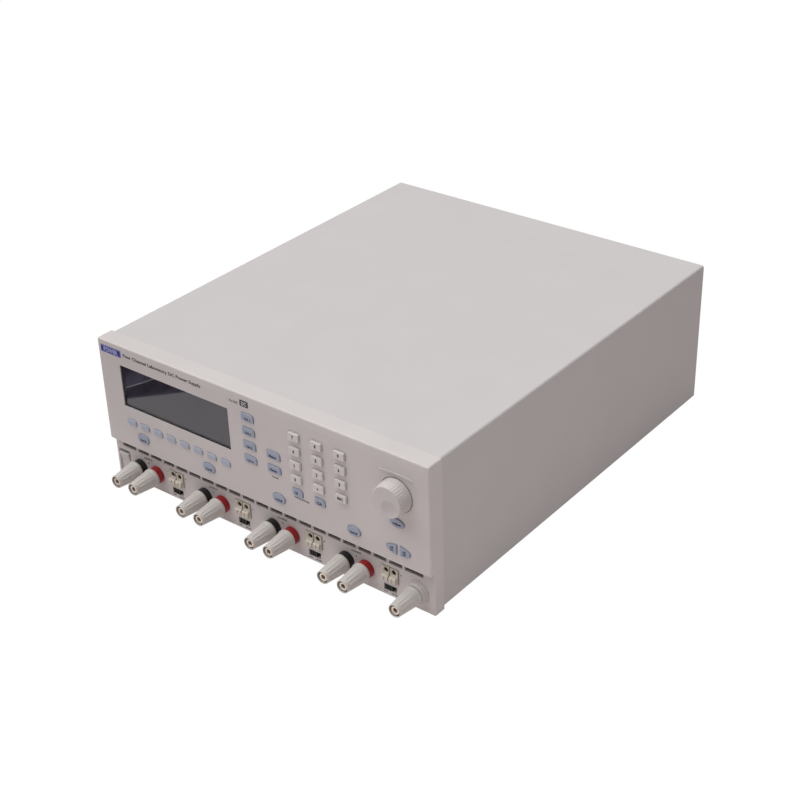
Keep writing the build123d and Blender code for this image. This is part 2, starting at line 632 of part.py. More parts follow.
SLIDER_RECESS = 0.4
SLIDER_FACE = LOWER_FRONT + SLIDER_RECESS
SLIDER_HEIGHT = SLIDE_WINDOW_HEIGHT - 0.7
SLIDER_REACH = 1.8            # how far a slider reaches behind the bezel's wall
GRIP_PITCH = 1.7
GRIP_WIDTH = 0.8
GRIP_DEPTH = 0.5
with BuildPart() as sense_selectors:
    slider_x = [x + SLIDE_OFFSET - SLIDER_TRAVEL / 2.0 for x in CHANNEL_X]
    with BuildSketch(facing_front(SLIDER_FACE)):
        with Locations([(x, SLIDE_Z) for x in slider_x]):
            Rectangle(SLIDER_LENGTH, SLIDER_HEIGHT)
    extrude(amount=-(BEZEL_WALL + SLIDER_REACH))
    with BuildSketch(facing_front(SLIDER_FACE)):
        with Locations([(x + step, SLIDE_Z) for x in slider_x for step in (-GRIP_PITCH, 0.0, GRIP_PITCH)]):
            Rectangle(GRIP_WIDTH, SLIDER_HEIGHT)
    extrude(amount=-GRIP_DEPTH, mode=Mode.SUBTRACT)
finish(sense_selectors.part, "sense_selectors")


# ---- spring terminals for the sense leads ---------------------------------------------
SENSE_PROUD = 1.2
SENSE_FACE = LOWER_FRONT - SENSE_PROUD
SENSE_BOTTOM = SENSE_Z - SENSE_HEIGHT / 2.0
LEVER_WIDTH = 6.2
LEVER_PROUD = 3.4
LEVER_TOP = -0.1              # upper end of the levers, from the middle of the block
LEVER_SLOT = (1.1, 2.6)
UNIT_GROOVE = 1.2             # between the two units of a block
GROOVE_DEPTH = 3.0
SENSE_BOARD_GAP = 0.05
LEVER_SLOT_DEPTH = 0.7
LEVER_SLOT_DROP = 2.8
ENTRY_RADIUS = 2.1
ENTRY_FLARE = 0.7
ENTRY_RISE = 3.0
ENTRY_DEPTH = 5.0
with BuildPart() as sense_terminals:
    with BuildSketch(facing_front(SENSE_FACE)):
        with Locations([(x + SENSE_OFFSET, SENSE_Z) for x in CHANNEL_X]):
            Rectangle(SENSE_WIDTH, SENSE_HEIGHT)
    extrude(amount=-(FRONT + BOARD_FACE - SENSE_FACE - SENSE_BOARD_GAP))
    for x in CHANNEL_X:
        with BuildSketch(facing_front(SENSE_FACE)):
            with Locations((x + SENSE_OFFSET, SENSE_Z)):
                Rectangle(UNIT_GROOVE, SENSE_HEIGHT)
        extrude(amount=-GROOVE_DEPTH, mode=Mode.SUBTRACT)
        for side in (-1, 1):
            unit_x = x + SENSE_OFFSET + side * SENSE_PITCH / 2.0
            entry_z = SENSE_Z + ENTRY_RISE
            with BuildSketch(Plane.YZ.offset(unit_x - LEVER_WIDTH / 2.0)):
                with BuildLine():
                    Polyline(
                        (SENSE_FACE + 0.4, SENSE_Z + LEVER_TOP),
                        (SENSE_FACE - 1.0, SENSE_Z + LEVER_TOP - 0.4),
                        (LOWER_FRONT - LEVER_PROUD, SENSE_Z - 1.4),
                        (LOWER_FRONT - LEVER_PROUD, SENSE_BOTTOM + 1.4),
                        (LOWER_FRONT - LEVER_PROUD + 0.8, SENSE_BOTTOM + 0.2),
                        (SENSE_FACE + 0.4, SENSE_BOTTOM + 0.2),
                        close=True,
                    )
                make_face()
            extrude(amount=LEVER_WIDTH)
            with BuildSketch(facing_front(LOWER_FRONT - LEVER_PROUD)):
                with Locations((unit_x, SENSE_Z - LEVER_SLOT_DROP)):
                    Rectangle(*LEVER_SLOT)
            extrude(amount=-LEVER_SLOT_DEPTH, mode=Mode.SUBTRACT)
            with BuildSketch(facing_front(SENSE_FACE)):
                with Locations((unit_x, entry_z)):
                    Circle(ENTRY_RADIUS + ENTRY_FLARE)
            with BuildSketch(facing_front(SENSE_FACE + ENTRY_FLARE)):
                with Locations((unit_x, entry_z)):
                    Circle(ENTRY_RADIUS)
            loft(mode=Mode.SUBTRACT)
            with BuildSketch(facing_front(SENSE_FACE)):
                with Locations((unit_x, entry_z)):
                    Circle(ENTRY_RADIUS)
            extrude(amount=-ENTRY_DEPTH, mode=Mode.SUBTRACT)
finish(sense_terminals.part, "sense_terminals")


# ---- power switch ---------------------------------------------------------------------
PIVOT_Y = LOWER_FRONT + ROCKER_PIVOT
PIVOT_RADIUS = 1.2
PIVOT_FIT = 0.08
SWITCH_CAVITY_DEPTH = 11.0
SWITCH_FRONT = LOWER_FRONT + 1.2
SWITCH_FIT = 0.1
ROCKER_SIDE_GAP = 0.4
ROCKER_END_GAP = 1.0
PIN_OFFSET = (3.0, 6.0)
PIN_SIZE = (0.8, 4.8)
PIN_LENGTH = 7.0
with BuildPart() as power_switch:
    with BuildSketch(facing_front(SWITCH_FRONT)):
        with Locations((ROCKER_X, ROCKER_Z)):
            Rectangle(SWITCH_WIDTH - 2 * SWITCH_FIT, SWITCH_HEIGHT - 2 * SWITCH_FIT)
    extrude(amount=-SWITCH_LENGTH)
    with BuildSketch(facing_front(SWITCH_FRONT)):
        with Locations((ROCKER_X, ROCKER_Z)):
            Rectangle(ROCKER_WIDTH + 2 * ROCKER_SIDE_GAP, ROCKER_HEIGHT + 2 * ROCKER_END_GAP)
    extrude(amount=-SWITCH_CAVITY_DEPTH, mode=Mode.SUBTRACT)
    with BuildSketch(Plane.YZ.offset(ROCKER_X)):
        with Locations((PIVOT_Y, ROCKER_Z)):
            Circle(PIVOT_RADIUS)
    extrude(amount=SWITCH_WIDTH / 2.0 - 2 * SWITCH_FIT, both=True)
    with BuildSketch(facing_front(SWITCH_FRONT + SWITCH_LENGTH)):
        for sx in (-1, 1):
            pin_x = ROCKER_X + sx * PIN_OFFSET[0]
            with Locations([(pin_x, ROCKER_Z + sz * PIN_OFFSET[1]) for sz in (-1, 1)]):
                Rectangle(*PIN_SIZE)
    extrude(amount=-PIN_LENGTH)
finish(power_switch.part, "power_switch")

with BuildPart() as power_rocker:
    # the off position: the rocker's own plane leans by half of its swing
    lean = radians(ROCKER_TILT)
    rocker_plane = Plane(
        origin=(ROCKER_X - ROCKER_WIDTH / 2.0, PIVOT_Y, ROCKER_Z),
        x_dir=(0, cos(lean), sin(lean)),
        z_dir=(1, 0, 0),
    )
    face = -(ROCKER_PIVOT - 1.0)
    half = ROCKER_HEIGHT / 2.0
    with BuildSketch(rocker_plane):
        with BuildLine():
            Polyline(
                (face - 1.1, half - 0.4),
                (face - 1.1, half - 0.9),
                (face, 0),
                (face - 1.1, 0.9 - half),
                (face - 1.1, 0.4 - half),
                (face - 0.4, -half),
                (0.5, 0.8 - half),
                (2.6, -3.5),
                (2.6, 3.5),
                (0.5, half - 0.8),
                (face - 0.4, half),
                close=True,
            )
        make_face()
    extrude(amount=ROCKER_WIDTH)
    with BuildSketch(Plane.YZ.offset(ROCKER_X)):
        with Locations((PIVOT_Y, ROCKER_Z)):
            Circle(PIVOT_RADIUS + PIVOT_FIT)
    extrude(amount=ROCKER_WIDTH, both=True, mode=Mode.SUBTRACT)
finish(power_rocker.part, "power_rocker")


# ---- binding posts ----------------------------------------------------------------------
NUT_RADIUS = 5.8
NUT_HEIGHT = 3.0
NUT_GAP = 1.6                 # room for the washer behind the wall
MOUTH_CHAMFER = 0.3
with BuildPart() as terminal_studs:
    for x in POST_X:
        with BuildSketch(facing_front(LOWER_FRONT - CAP_FRONT + STUD_RECESS)):
            with Locations((x, POST_Z)):
                Circle(STUD_RADIUS)
        extrude(amount=-(CAP_FRONT - STUD_RECESS + BEZEL_WALL))
        with BuildSketch(facing_front(LOWER_FRONT + BEZEL_WALL)):
            with Locations((x, POST_Z)):
                Circle(STUD_REAR_RADIUS)
        extrude(amount=-(STUD_REAR - BEZEL_WALL))
        with BuildSketch(facing_front(LOWER_FRONT + BEZEL_WALL + NUT_GAP)):
            with Locations((x, POST_Z)):
                RegularPolygon(radius=NUT_RADIUS, side_count=6)
        extrude(amount=-NUT_HEIGHT)
        with BuildSketch(facing_front(LOWER_FRONT - CAP_FRONT + STUD_RECESS)):
            with Locations((x, POST_Z)):
                Circle(SOCKET_RADIUS)
        extrude(amount=-SOCKET_DEPTH, mode=Mode.SUBTRACT)
        mouth = terminal_studs.edges().filter_by(GeomType.CIRCLE).group_by(Axis.Y)[0]
        chamfer(mouth.filter_by(lambda e, x=x: abs(e.arc_center.X - x) < PICK), MOUTH_CHAMFER)
finish(terminal_studs.part, "terminal_studs")


def make_insulators(label, centres, ring):
    """Insulating bushes for some posts, with the coloured ring in front of the panel."""
    with BuildPart() as insulators:
        if ring:
            with BuildSketch(facing_front(LOWER_FRONT - RING_LENGTH)):
                with Locations([(x, POST_Z) for x in centres]):
                    Circle(RING_RADIUS)
            extrude(amount=-RING_LENGTH)
        with BuildSketch(facing_front(LOWER_FRONT)):
            with Locations([(x, POST_Z) for x in centres]):
                Circle(PANEL_HOLE_RADIUS - 0.1)
        extrude(amount=-BEZEL_WALL)
        with BuildSketch(facing_front(LOWER_FRONT + BEZEL_WALL)):
            with Locations([(x, POST_Z) for x in centres]):
                Circle(RING_RADIUS)
        extrude(amount=-1.5)
        with BuildSketch(facing_front(LOWER_FRONT - RING_LENGTH)):
            with Locations([(x, POST_Z) for x in centres]):
                Circle(STUD_RADIUS + 0.05)
        extrude(amount=-(RING_LENGTH + BEZEL_WALL + 2.0), mode=Mode.SUBTRACT)
    finish(insulators.part, label)


make_insulators("black_insulators", POST_X[0:8:2], True)
make_insulators("red_insulators", POST_X[1:8:2], True)


def make_cap(label, x):
    """A fluted, tapered post cap with a wide mouth for a shrouded plug."""
    cap_back = RING_LENGTH + CAP_GAP
    axis_plane = Plane(origin=(x, LOWER_FRONT, POST_Z), x_dir=(1, 0, 0), z_dir=(0, 0, 1))
    bore = STUD_RADIUS + CAP_CLEARANCE
    with BuildPart() as cap:
        with BuildSketch(axis_plane):
            with BuildLine():
                Polyline(
                    (bore, -cap_back),
                    (CAP_BASE_RADIUS - 0.4, -cap_back),
                    (CAP_BASE_RADIUS, -cap_back - 0.5),
                    (CAP_BASE_RADIUS, -cap_back - 2.2),
                    (CAP_BASE_RADIUS - 0.5, -cap_back - 3.0),
                    (CAP_FACE_RADIUS + 0.15, -CAP_FRONT + 2.6),
                    (CAP_FACE_RADIUS, -CAP_FRONT + 0.5),
                    (CAP_FACE_RADIUS - 0.4, -CAP_FRONT),
                    (CAP_MOUTH_RADIUS, -CAP_FRONT),
                    (CAP_MOUTH_RADIUS, -CAP_FRONT + CAP_MOUTH_DEPTH),
                    (bore, -CAP_FRONT + CAP_MOUTH_DEPTH),
                    close=True,
                )
            make_face()
        revolve(axis=Axis((x, 0, POST_Z), (0, 1, 0)))
        flute_front = LOWER_FRONT - CAP_FRONT + 2.8
        flute_back = LOWER_FRONT - cap_back - 3.0
        for i in range(CAP_FLUTES):
            angle = radians(360.0 * (i + 0.5) / CAP_FLUTES)
            direction = Vector(cos(angle), 0, sin(angle))
            front_reach = direction * (CAP_FACE_RADIUS + CAP_FLUTE_RADIUS - CAP_FLUTE_DEPTH)
            back_reach = direction * (CAP_BASE_RADIUS + CAP_FLUTE_RADIUS - 0.5 - CAP_FLUTE_DEPTH / 3.0)
            front_centre = Vector(x, flute_front, POST_Z) + front_reach
            back_centre = Vector(x, flute_back, POST_Z) + back_reach
            run = back_centre - front_centre
            with BuildSketch(Plane(origin=front_centre, x_dir=direction, z_dir=run)):
                Circle(CAP_FLUTE_RADIUS)
            extrude(amount=run.length, mode=Mode.SUBTRACT)
    finish(cap.part, label)


for i in range(CHANNELS):
    make_cap(f"negative_post_cap_{i + 1}", POST_X[2 * i])
    make_cap(f"positive_post_cap_{i + 1}", POST_X[2 * i + 1])
make_cap("earth_post_cap", EARTH_X)


# ---- case -------------------------------------------------------------------------------
with BuildPart() as wrap_cover:
    cover_run = REAR - BEZEL_BACK
    with BuildSketch(facing_front(REAR)):
        with Locations((0, (COVER_TOP + COVER_BOTTOM) / 2.0)):
            Rectangle(2 * COVER_OUTER_X, COVER_TOP - COVER_BOTTOM)
    extrude(amount=cover_run)
    fillet(wrap_cover.edges().filter_by(Axis.Y), 2.2)
    with BuildSketch(facing_front(REAR)):
        with Locations((0, (COVER_CEILING + TRAY_BOTTOM) / 2.0)):
            RectangleRounded(2 * COVER_INNER_X, COVER_CEILING - TRAY_BOTTOM, 1.0)
    extrude(amount=cover_run, mode=Mode.SUBTRACT)
    with BuildSketch(facing_front(REAR)):
        with Locations((0, COVER_BOTTOM)):
            Rectangle(2 * (COVER_OUTER_X - COVER_LIP), 4.0)
    extrude(amount=cover_run, mode=Mode.SUBTRACT)
    with BuildSketch(Plane.XY.offset(COVER_BOTTOM)):
        with Locations([(side * LIP_SCREW_X, y) for side in (-1, 1) for y in LIP_SCREW_Y]):
            Circle(SCREW_HOLE)
    extrude(amount=COVER_SHEET, mode=Mode.SUBTRACT)
finish(wrap_cover.part, "wrap_cover")

TRAY_WALL = 14.0
SWITCH_NOTCH = 26.0
BOARD_STANDOFF = 6.0
TRAY_FRONT = BEZEL_BACK + 0.3
TRAY_BACK = REAR_FACE - CHASSIS_SHEET
FOOT_X = 132.0
FOOT_Y = [FRONT + 42.0, REAR - 42.0]
with BuildPart() as base_chassis:
    with BuildSketch(facing_front(TRAY_BACK)):
        with Locations((0, TRAY_BOTTOM + TRAY_WALL / 2.0)):
            Rectangle(2 * TRAY_HALF, TRAY_WALL)
        with Locations((0, TRAY_FLOOR + TRAY_WALL / 2.0)):
            Rectangle(2 * (TRAY_HALF - CHASSIS_SHEET), TRAY_WALL, mode=Mode.SUBTRACT)
    extrude(amount=TRAY_BACK - TRAY_FRONT)
    bottom_edges = base_chassis.edges().filter_by(Axis.Y).group_by(Axis.Z)[0]
    fillet(bottom_edges, 1.2)
    with BuildSketch(Plane.XY.offset(TRAY_BOTTOM)):
        with Locations([(side * LIP_SCREW_X, y) for side in (-1, 1) for y in LIP_SCREW_Y]):
            Circle(SCREW_RADIUS + 0.05)
        with Locations([(side * FOOT_X, y) for side in (-1, 1) for y in FOOT_Y]):
            Circle(2.6)
    extrude(amount=CHASSIS_SHEET, mode=Mode.SUBTRACT)
    # the left wall and floor stop short of the power switch
    with BuildSketch(Plane.XY.offset(TRAY_BOTTOM)):
        with Locations((ROCKER_X, TRAY_FRONT)):
            Rectangle(SWITCH_WIDTH + 3.0, 2 * SWITCH_NOTCH)
    extrude(amount=TRAY_WALL, mode=Mode.SUBTRACT)
    with BuildSketch(Plane.XY.offset(TRAY_FLOOR)):
        with Locations([(x, y) for x in (-130.0, 0.0, 60.0) for y in (-110.0, 0.0, 125.0)]):
            Circle(3.2)
    extrude(amount=BOARD_STANDOFF)
finish(base_chassis.part, "base_chassis")

with BuildPart() as rubber_feet:
    foot_places = [(side * FOOT_X, y) for side in (-1, 1) for y in FOOT_Y]
    with BuildSketch(Plane.XY):
        with Locations(foot_places):
            Circle(9.0)
    extrude(amount=TRAY_BOTTOM)
    fillet(rubber_feet.edges().group_by(Axis.Z)[0], 1.2)
    with BuildSketch(Plane.XY.offset(TRAY_BOTTOM)):
        with Locations(foot_places):
            Circle(2.5)
    extrude(amount=CHASSIS_SHEET)
finish(rubber_feet.part, "rubber_feet")

# ---- rear panel -------------------------------------------------------------------------
PANEL_CENTRE_Z = (TRAY_FLOOR + COVER_CEILING) / 2.0
PANEL_HALF = COVER_INNER_X - 0.6
GRILLE_RINGS = [9.0, 14.5, 20.0, 25.5, 31.0, 36.5]
GRILLE_SLOT = 3.4
GRILLE_SPOKE = 3.2
INLET_BODY = (27.6, 20.4)
LAN_BODY = (16.2, 13.8)
USB_BODY = (12.2, 11.2)
REAR_VENT_X = [-10.0 + 6.0 * i for i in range(9)]
REAR_VENT_LENGTH = 46.0

with BuildPart() as rear_panel:
    with BuildSketch(facing_front(REAR_FACE)):
        with Locations((0, PANEL_CENTRE_Z)):
            Rectangle(2 * PANEL_HALF, COVER_CEILING - TRAY_FLOOR - 0.2)
    extrude(amount=CHASSIS_SHEET)
    # fan grille: ring-shaped slots crossed by four spokes
    with BuildSketch(facing_front(REAR_FACE)) as grille:
        with Locations((FAN_X, FAN_Z)):
            for radius in reversed(GRILLE_RINGS):
                Circle(radius + GRILLE_SLOT / 2.0)
                Circle(radius - GRILLE_SLOT / 2.0, mode=Mode.SUBTRACT)
            for angle in (45, 135):
                Rectangle(2 * FAN_SIZE, GRILLE_SPOKE, rotation=angle, mode=Mode.SUBTRACT)
    extrude(amount=CHASSIS_SHEET, mode=Mode.SUBTRACT)
    with BuildSketch(facing_front(REAR_FACE)):
        with Locations((FAN_X, FAN_Z)):
            with GridLocations(FAN_HOLE_PITCH, FAN_HOLE_PITCH, 2, 2):
                Circle(2.2)
        with Locations((INLET_X, INLET_Z)):
            Rectangle(*INLET_BODY)
            with GridLocations(40.0, 0, 2, 1):
                Circle(SCREW_HOLE)
        with Locations((LAN_X, SOCKET_Z)):
            Rectangle(*LAN_BODY)
        with Locations((USB_X, SOCKET_Z)):
            Rectangle(*USB_BODY)
        for x in REAR_VENT_X:
            with Locations((x, BASE + 78.0)):
                SlotOverall(REAR_VENT_LENGTH, 2.6, rotation=90)
        with Locations(REAR_SCREWS):
            Circle(SCREW_HOLE)
    extrude(amount=CHASSIS_SHEET, mode=Mode.SUBTRACT)
    # inner flanges that the cover and the tray are screwed to
    with BuildSketch(facing_front(REAR_FACE - CHASSIS_SHEET)):
        for side in (-1, 1):
            with Locations((side * (PANEL_HALF - CHASSIS_SHEET - 1.2), PANEL_CENTRE_Z + 4.0)):
                Rectangle(CHASSIS_SHEET, 80.0)
    extrude(amount=10.0)
finish(rear_panel.part, "rear_panel")

# ---- fan --------------------------------------------------------------------------------
FAN_BACK = REAR_FACE - CHASSIS_SHEET
FAN_FRONT = FAN_BACK - FAN_DEPTH
FAN_BASE_RADIUS = 19.0
FAN_SHAFT_RADIUS = 1.5
FAN_TUBE_RADIUS = 4.0
BLADE_TIP = 36.6
HUB_RADIUS = 18.5

with BuildPart() as fan_frame:
    fan_plane = Plane(origin=(FAN_X, FAN_FRONT, FAN_Z), x_dir=(1, 0, 0), z_dir=(0, -1, 0))
    with BuildSketch(fan_plane):
        RectangleRounded(FAN_SIZE, FAN_SIZE, 4.0)
        Circle(FAN_BORE, mode=Mode.SUBTRACT)
        with GridLocations(FAN_HOLE_PITCH, FAN_HOLE_PITCH, 2, 2):
            Circle(2.15, mode=Mode.SUBTRACT)
    extrude(amount=-FAN_DEPTH)
    with BuildSketch(fan_plane.offset(-(FAN_DEPTH - 3.5))):
        Circle(FAN_BASE_RADIUS)
        for angle in (20, 110):
            Rectangle(2 * FAN_BORE + 1.0, 3.0, rotation=angle)
        Circle(FAN_SHAFT_RADIUS + 0.05, mode=Mode.SUBTRACT)
    extrude(amount=-3.5)
    with BuildSketch(fan_plane.offset(-(FAN_DEPTH - 3.5))):
        Circle(FAN_TUBE_RADIUS)
        Circle(FAN_SHAFT_RADIUS + 0.05, mode=Mode.SUBTRACT)
    extrude(amount=12.0)
finish(fan_frame.part, "fan_frame")

with BuildPart() as fan_rotor:
    rotor_plane = Plane(origin=(FAN_X, FAN_FRONT, FAN_Z), x_dir=(1, 0, 0), z_dir=(0, -1, 0))
    with BuildSketch(rotor_plane.offset(-1.5)):
        Circle(HUB_RADIUS)
    extrude(amount=-(FAN_DEPTH - 3.5 - 1.5 - 0.8))
    with BuildSketch(rotor_plane.offset(-3.5)):
        Circle(HUB_RADIUS - 1.8)
        Circle(FAN_SHAFT_RADIUS, mode=Mode.SUBTRACT)
    extrude(amount=-FAN_DEPTH, mode=Mode.SUBTRACT)
    with BuildSketch(rotor_plane.offset(-3.5)):
        Circle(FAN_SHAFT_RADIUS)
    extrude(amount=-(FAN_DEPTH - 3.5 - 1.0))
    with Locations(rotor_plane):
        with PolarLocations(0, 7):
            with Locations(Location((27.2, 0, -11.6), (38, 0, 0))):
                Box(18.4, 19.0, 1.5)
    with BuildSketch(rotor_plane.offset(5)):
        Circle(BLADE_TIP + 20.0)
        Circle(BLADE_TIP, mode=Mode.SUBTRACT)
    extrude(amount=-(FAN_DEPTH + 10.0), mode=Mode.SUBTRACT)
finish(fan_rotor.part, "fan_rotor")

# ---- sockets in the rear panel ------------------------------------------------------------
INLET_PINS = [(-7.0, -1.0), (7.0, -1.0), (0.0, 3.0)]
with BuildPart() as mains_inlet:
    inlet_plane = Plane(origin=(INLET_X, REAR_FACE, INLET_Z), x_dir=(-1, 0, 0), z_dir=(0, 1, 0))
    with BuildSketch(inlet_plane):
        RectangleRounded(50.0, 23.0, 4.0)
        with GridLocations(40.0, 0, 2, 1):
            Circle(SCREW_HOLE, mode=Mode.SUBTRACT)
    extrude(amount=3.0)
    fillet(mains_inlet.edges().group_by(Axis.Y)[-1], 0.6)
    with BuildSketch(inlet_plane):
        Rectangle(INLET_BODY[0] - 0.3, INLET_BODY[1] - 0.3)
    extrude(amount=-19.0)
    with BuildSketch(inlet_plane.offset(3.0)) as cavity:
        Rectangle(24.4, 16.4)
        chamfer(cavity.vertices().group_by(Axis.Y)[-1], 4.2)
    extrude(amount=-19.0, mode=Mode.SUBTRACT)
    with BuildSketch(inlet_plane.offset(-16.0)):
        with Locations(INLET_PINS):
            Rectangle(2.0, 4.0)
    extrude(amount=15.5)
    with BuildSketch(inlet_plane.offset(-19.0)):
        with Locations(INLET_PINS):
            Rectangle(6.3, 0.8)
    extrude(amount=-8.0)
finish(mains_inlet.part, "mains_inlet")

LAN_CAVITY = (11.8, 7.2)
with BuildPart() as interface_sockets:
    with BuildSketch(facing_front(REAR_FACE + 0.8)):
        with Locations((LAN_X, SOCKET_Z)):
            Rectangle(LAN_BODY[0] - 0.2, LAN_BODY[1] - 0.2)
        with Locations((USB_X, SOCKET_Z)):
            Rectangle(USB_BODY[0] - 0.2, USB_BODY[1] - 0.2)
    extrude(amount=20.0)
    with BuildSketch(facing_front(REAR_FACE + 0.8)):
        with Locations((LAN_X, SOCKET_Z + 0.6)):
            Rectangle(*LAN_CAVITY)
        with Locations((LAN_X, SOCKET_Z - 3.6)):
            Rectangle(6.2, 2.6)
        with Locations((USB_X, SOCKET_Z)):
            Rectangle(8.5, 7.8)
            Rectangle(5.6, 3.2, mode=Mode.SUBTRACT)
    extrude(amount=14.0, mode=Mode.SUBTRACT)
    with BuildSketch(facing_front(REAR_FACE - 19.2)):
        with Locations(((LAN_X + USB_X) / 2.0, SOCKET_Z)):
            Rectangle(56.0, 30.0)
    extrude(amount=BOARD_SHEET)
finish(interface_sockets.part, "interface_sockets")

# ---- fasteners ----------------------------------------------------------------------------
def add_screws(places, head_radius, head_height, shank_length):
    """Pan-head screws with a cross recess on planes whose normal leaves the surface."""
    for place in places:
        with BuildSketch(place) as head:
            Circle(head_radius)
        with BuildSketch(place) as shank:
            Circle(SCREW_RADIUS)
        with BuildSketch(place.offset(head_height)) as recess:
            Rectangle(head_radius * 1.1, 0.7)
            Rectangle(0.7, head_radius * 1.1)
        extrude(head.sketch, amount=head_height)
        extrude(shank.sketch, amount=-shank_length)
        extrude(recess.sketch, amount=-0.9, mode=Mode.SUBTRACT)


def rear_place(x, y, z):
    """A plane on the rear panel, facing the rear."""
    return Plane(origin=(x, y, z), x_dir=(1, 0, 0), z_dir=(0, 1, 0))


with BuildPart() as case_screws:
    lip_places = [
        Plane(origin=(side * LIP_SCREW_X, y, COVER_BOTTOM), x_dir=(1, 0, 0), z_dir=(0, 0, -1))
        for side in (-1, 1)
        for y in LIP_SCREW_Y
    ]
    add_screws(lip_places, 2.9, 1.7, 6.0)
    add_screws([rear_place(x, REAR_FACE, z) for x, z in REAR_SCREWS], 2.9, 1.9, 6.0)
    inlet_screws = [rear_place(INLET_X + side * 20.0, REAR_FACE + 3.0, INLET_Z) for side in (-1, 1)]
    add_screws(inlet_screws, 2.7, 1.5, 8.0)
    fan_screws = [
        rear_place(FAN_X + sx * FAN_HOLE_PITCH / 2.0, REAR_FACE, FAN_Z + sz * FAN_HOLE_PITCH / 2.0)
        for sx in (-1, 1)
        for sz in (-1, 1)
    ]
    add_screws(fan_screws, 3.6, 2.2, 12.0)
finish(case_screws.part, "case_screws")

# ---- power electronics --------------------------------------------------------------------
POWER_BOARD_Z = TRAY_FLOOR + BOARD_STANDOFF
POWER_BOARD_Y = (-120.0, 140.0)
BOARD_TOP = POWER_BOARD_Z + BOARD_SHEET
CAPACITORS = [(-90.0 + 36.0 * i, 95.0) for i in range(5)]
TRANSFORMER_X = [-105.0, -35.0, 35.0, 105.0]
TRANSFORMER_Y = -10.0
HEATSINK_Y = [-62.0, 42.0]

with BuildPart() as power_board:
    with BuildSketch(Plane.XY.offset(POWER_BOARD_Z)):
        with Locations((0, sum(POWER_BOARD_Y) / 2.0)):
            Rectangle(286.0, POWER_BOARD_Y[1] - POWER_BOARD_Y[0])
    extrude(amount=BOARD_SHEET)
    with BuildSketch(Plane.XY.offset(BOARD_TOP)):
        with Locations(CAPACITORS):
            Circle(13.0)
    extrude(amount=46.0)
    with BuildSketch(Plane.XY.offset(BOARD_TOP)):
        with Locations([(x, -100.0) for x in TRANSFORMER_X]):
            Rectangle(26.0, 18.0)
    extrude(amount=16.0)
    # converter transformers: a ferrite block with a winding through its two windows
    for x in TRANSFORMER_X:
        with BuildSketch(Plane.XY.offset(BOARD_TOP)):
            with Locations((x, TRANSFORMER_Y)):
                Rectangle(44.0, 42.0)
        extrude(amount=38.0)
        with BuildSketch(Plane.XY.offset(BOARD_TOP + 7.0)):
            with Locations((x, TRANSFORMER_Y)):
                RectangleRounded(30.0, 54.0, 6.0)
        extrude(amount=24.0)
finish(power_board.part, "power_board")

with BuildPart() as heatsinks:
    for y in HEATSINK_Y:
        with BuildSketch(Plane.YZ.offset(-138.0)):
            with Locations((y, BOARD_TOP + 27.0)):
                Rectangle(4.0, 54.0)
            with Locations([(y, BOARD_TOP + 4.0 + 7.5 * i) for i in range(7)]):
                Rectangle(26.0, 1.6)
        extrude(amount=276.0)
finish(heatsinks.part, "heatsinks")
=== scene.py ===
import json
from math import cos, pi, radians, sin

import bmesh
import bpy
from mathutils import Matrix, Vector


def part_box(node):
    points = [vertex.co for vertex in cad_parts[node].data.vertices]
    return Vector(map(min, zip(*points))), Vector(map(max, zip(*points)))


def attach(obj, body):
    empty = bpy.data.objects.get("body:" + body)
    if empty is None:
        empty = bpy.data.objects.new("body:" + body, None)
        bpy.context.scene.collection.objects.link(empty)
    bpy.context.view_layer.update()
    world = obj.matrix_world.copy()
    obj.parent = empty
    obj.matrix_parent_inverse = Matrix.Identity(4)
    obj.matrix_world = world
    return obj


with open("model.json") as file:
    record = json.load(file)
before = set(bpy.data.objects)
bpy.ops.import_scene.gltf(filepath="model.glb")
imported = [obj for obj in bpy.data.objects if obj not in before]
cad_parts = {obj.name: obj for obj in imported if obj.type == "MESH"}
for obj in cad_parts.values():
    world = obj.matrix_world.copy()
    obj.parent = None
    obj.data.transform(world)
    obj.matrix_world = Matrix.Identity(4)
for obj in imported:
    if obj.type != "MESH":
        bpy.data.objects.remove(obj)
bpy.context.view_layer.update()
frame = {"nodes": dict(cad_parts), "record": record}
nodes = frame["nodes"]
MM = 0.001

# ---- places, taken from the frame ------------------------------------------------------
CHANNELS = 4
WINDOW_RECESS = 1.3 * MM
LOWER_SETBACK = 5.0 * MM
SLIDE_TOP = 11.5 * MM
SENSE_OFFSET = 32.0 * MM
SENSE_PITCH = 7.2 * MM
ENTRY_HEIGHT = 23.8 * MM


def centre(node):
    """The middle of a node's box."""
    low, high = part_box(node)
    return (low + high) / 2.0


window_low, window_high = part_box("display_window")
WINDOW_FACE = window_low.y
PANEL_FACE = WINDOW_FACE - WINDOW_RECESS
BAND_FACE = PANEL_FACE + LOWER_SETBACK
CASE_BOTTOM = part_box("front_bezel")[0].z
SCREEN = centre("display_window")
CHANNEL_X = [
    (centre(f"negative_post_cap_{i + 1}").x + centre(f"positive_post_cap_{i + 1}").x) / 2.0
    for i in range(CHANNELS)
]


# ---- shader helpers ----------------------------------------------------------------------
MIX_COLOUR_INPUTS = (6, 7)
MIX_COLOUR_OUTPUT = 2
STEP_SOFTNESS = 0.1 * MM


def shader(name, colour, roughness, **sockets):
    """A Principled material with uniform values set on its own sockets."""
    material = bpy.data.materials.new(name)
    material.use_nodes = True
    tree = material.node_tree
    bsdf = tree.nodes["Principled BSDF"]
    bsdf.inputs["Base Color"].default_value = (*colour, 1.0)
    bsdf.inputs["Roughness"].default_value = roughness
    for socket, value in sockets.items():
        bsdf.inputs[socket.replace("_", " ")].default_value = value
    return material, tree, bsdf


